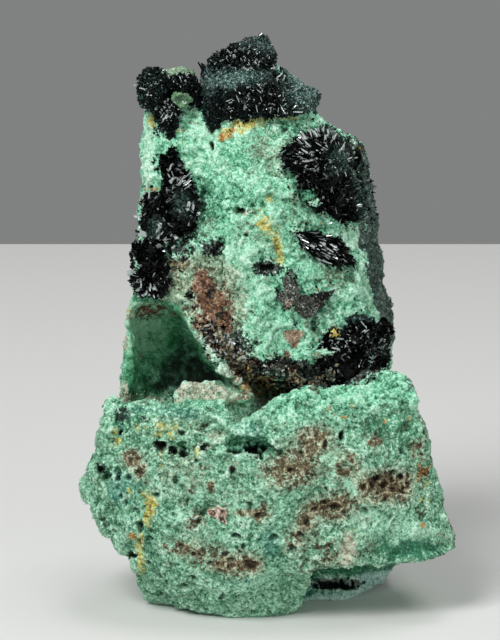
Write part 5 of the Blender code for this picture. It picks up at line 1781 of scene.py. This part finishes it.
def crystal_finish(name, colours, sand):
    """Dark glossy crystals: each blade has a tone of its own, and the palest blades and those marked as
    glints get a pale painted glint colour with some mirror shine.
    """
    make = Finish(name)
    tone = make.attribute("tone")
    speck = make.noise(0.25, detail=3, roughness=0.6) - 0.5
    shade = tone * 0.9 + speck * 0.6 - make.attribute("ink") * 0.3
    teal = make.attribute("teal")
    glint_share = make.step(tone + make.attribute("silver") * 0.5, 0.95, 1.0)
    colour = make.mix(teal * 0.85, make.ramp(shade, colours), make.ramp(shade, sand))
    colour = make.mix(glint_share, colour, PAINTED_GLINT_COLOUR)
    return make.set(
        Base_Color=colour,
        Metallic=glint_share * 0.45,
        Roughness=0.24 + teal * 0.3 + speck * 0.2,
        Normal=make.relief(make.noise(0.09, detail=2), 0.02),
        IOR=1.45,
        Specular_IOR_Level=0.16,
    )


# Stage

FLOOR_HALF = 900 * MM
FLOOR_END = 194 * MM
ROOM_COLOUR = (0.98, 1.0, 0.99, 1)
ROOM_STRENGTH = 0.222


def plain_finish(name, colour, roughness):
    make = Finish(name)
    cloud = make.noise(40, detail=2)
    shade = make.mix(cloud * 0.1, colour, tuple(part * 0.9 for part in colour[:3]) + (1,))
    return make.set(Base_Color=shade, Roughness=roughness)


def make_stage():
    """A pale floor, beyond whose far edge the grey room shows."""
    floor = bpy.data.meshes.new("floor")
    low, far, high = -FLOOR_HALF, FLOOR_END, FLOOR_HALF
    corners = [(low, low, 0), (high, low, 0), (high, far, 0), (low, far, 0)]
    floor.from_pydata(corners, [], [(0, 1, 2, 3)])
    floor.materials.append(plain_finish("pale_floor", srgb(222, 222, 220), 0.9))
    new_object("floor", floor)


def make_camera():
    camera = bpy.data.cameras.new("view")
    camera.lens = LENS
    camera.sensor_width = SENSOR
    camera.clip_start = 0.01
    camera.clip_end = 10
    holder = new_object("view", camera)
    holder.location = eye()
    holder.rotation_mode = "QUATERNION"
    holder.rotation_quaternion = look_direction().to_track_quat("-Z", "Y")
    bpy.context.scene.camera = holder


def soft_light(name, place, size, watts, colour=(1, 1, 1)):
    """A square light panel that faces the middle of the specimen."""
    panel = bpy.data.lights.new(name, "AREA")
    panel.shape = "SQUARE"
    panel.size = size
    panel.energy = watts
    panel.color = colour
    holder = new_object(name, panel)
    holder.location = place
    target = picture_middle()
    holder.rotation_mode = "QUATERNION"
    holder.rotation_quaternion = (target - Vector(place)).to_track_quat("-Z", "Y")


def make_lights():
    soft_light("key", (-0.2, -0.26, 0.38), 0.2, 1.9)
    soft_light("fill", (0.3, -0.36, 0.14), 0.3, 0.45)
    soft_light("top", (0.08, 0.06, 0.44), 0.2, 0.55)
    world = bpy.data.worlds.new("room")
    world.use_nodes = True
    world.node_tree.nodes["Background"].inputs[0].default_value = ROOM_COLOUR
    world.node_tree.nodes["Background"].inputs[1].default_value = ROOM_STRENGTH
    bpy.context.scene.world = world
    bpy.context.scene.view_settings.view_transform = "Standard"


def declare(piece, slot, *nodes):
    """Attaches a finished piece to the root and hides the frame nodes that it replaces; the slot it
    belongs to is not used.
    """
    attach(piece, "root")
    if nodes:
        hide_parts(*nodes)


def main():
    make_camera()
    make_stage()
    make_lights()
    rock_look = rock_finish()
    looks = {
        "teal_black_crystal": crystal_finish("teal_black_crystal", CROWN_RAMP, CROWN_SAND_RAMP),
        "dark_crystal": crystal_finish("dark_crystal", CRYSTAL_RAMP, TEAL_SAND_RAMP),
        "brown_crust": crystal_finish("brown_crust", CRUST_RAMP, ASH_RAMP),
        "face_crystals": crystal_finish("grey_crust", GREY_RAMP, ASH_RAMP),
    }
    blades = blade_shapes()
    grains = grain_shapes()
    group_tree = growth_tree("crystal growth", blades, True)
    stray_tree = growth_tree("stray growth", blades, False)
    grain_tree = growth_tree("grain growth", grains, False)
    rock = make_rock()
    rock.data.materials.append(rock_look)
    surface = tree_of(rock.data)
    groups = [tree_of(frame["nodes"][node].data) for node in GROWTHS]
    strew(rock, groups)
    declare(make_grains(rock, grain_tree, rock_look), "green_rock")
    declare(make_strays(rock, stray_tree, looks["dark_crystal"]), "dark_crystal")
    slots = {entry["node"]: entry["material_slot"] for entry in frame["record"]["subparts"]}
    grown_groups = []
    for seed, node in enumerate(GROWTHS):
        look = looks.get(node, looks[slots[node]])
        piece = make_crystals(node, group_tree, look, surface, seed)
        declare(piece, slots[node], node)
        grown_groups.append(tree_of(piece.data))
    declare(make_bundles(blades, [surface, *grown_groups], looks["dark_crystal"]), "dark_crystal")
    declare(make_heaps(grains, [surface, *grown_groups], rock_look), "green_rock")
    declare(make_green_lumps(rock_look), "green_rock")
    declare(make_glassy_lump(glassy_finish()), "green_rock")
    declare(make_fleck(surface, fleck_finish()), "green_rock")
    declare(rock, "green_rock", "matrix")
    for shape in blades + grains:
        bpy.data.objects.remove(shape)


main()
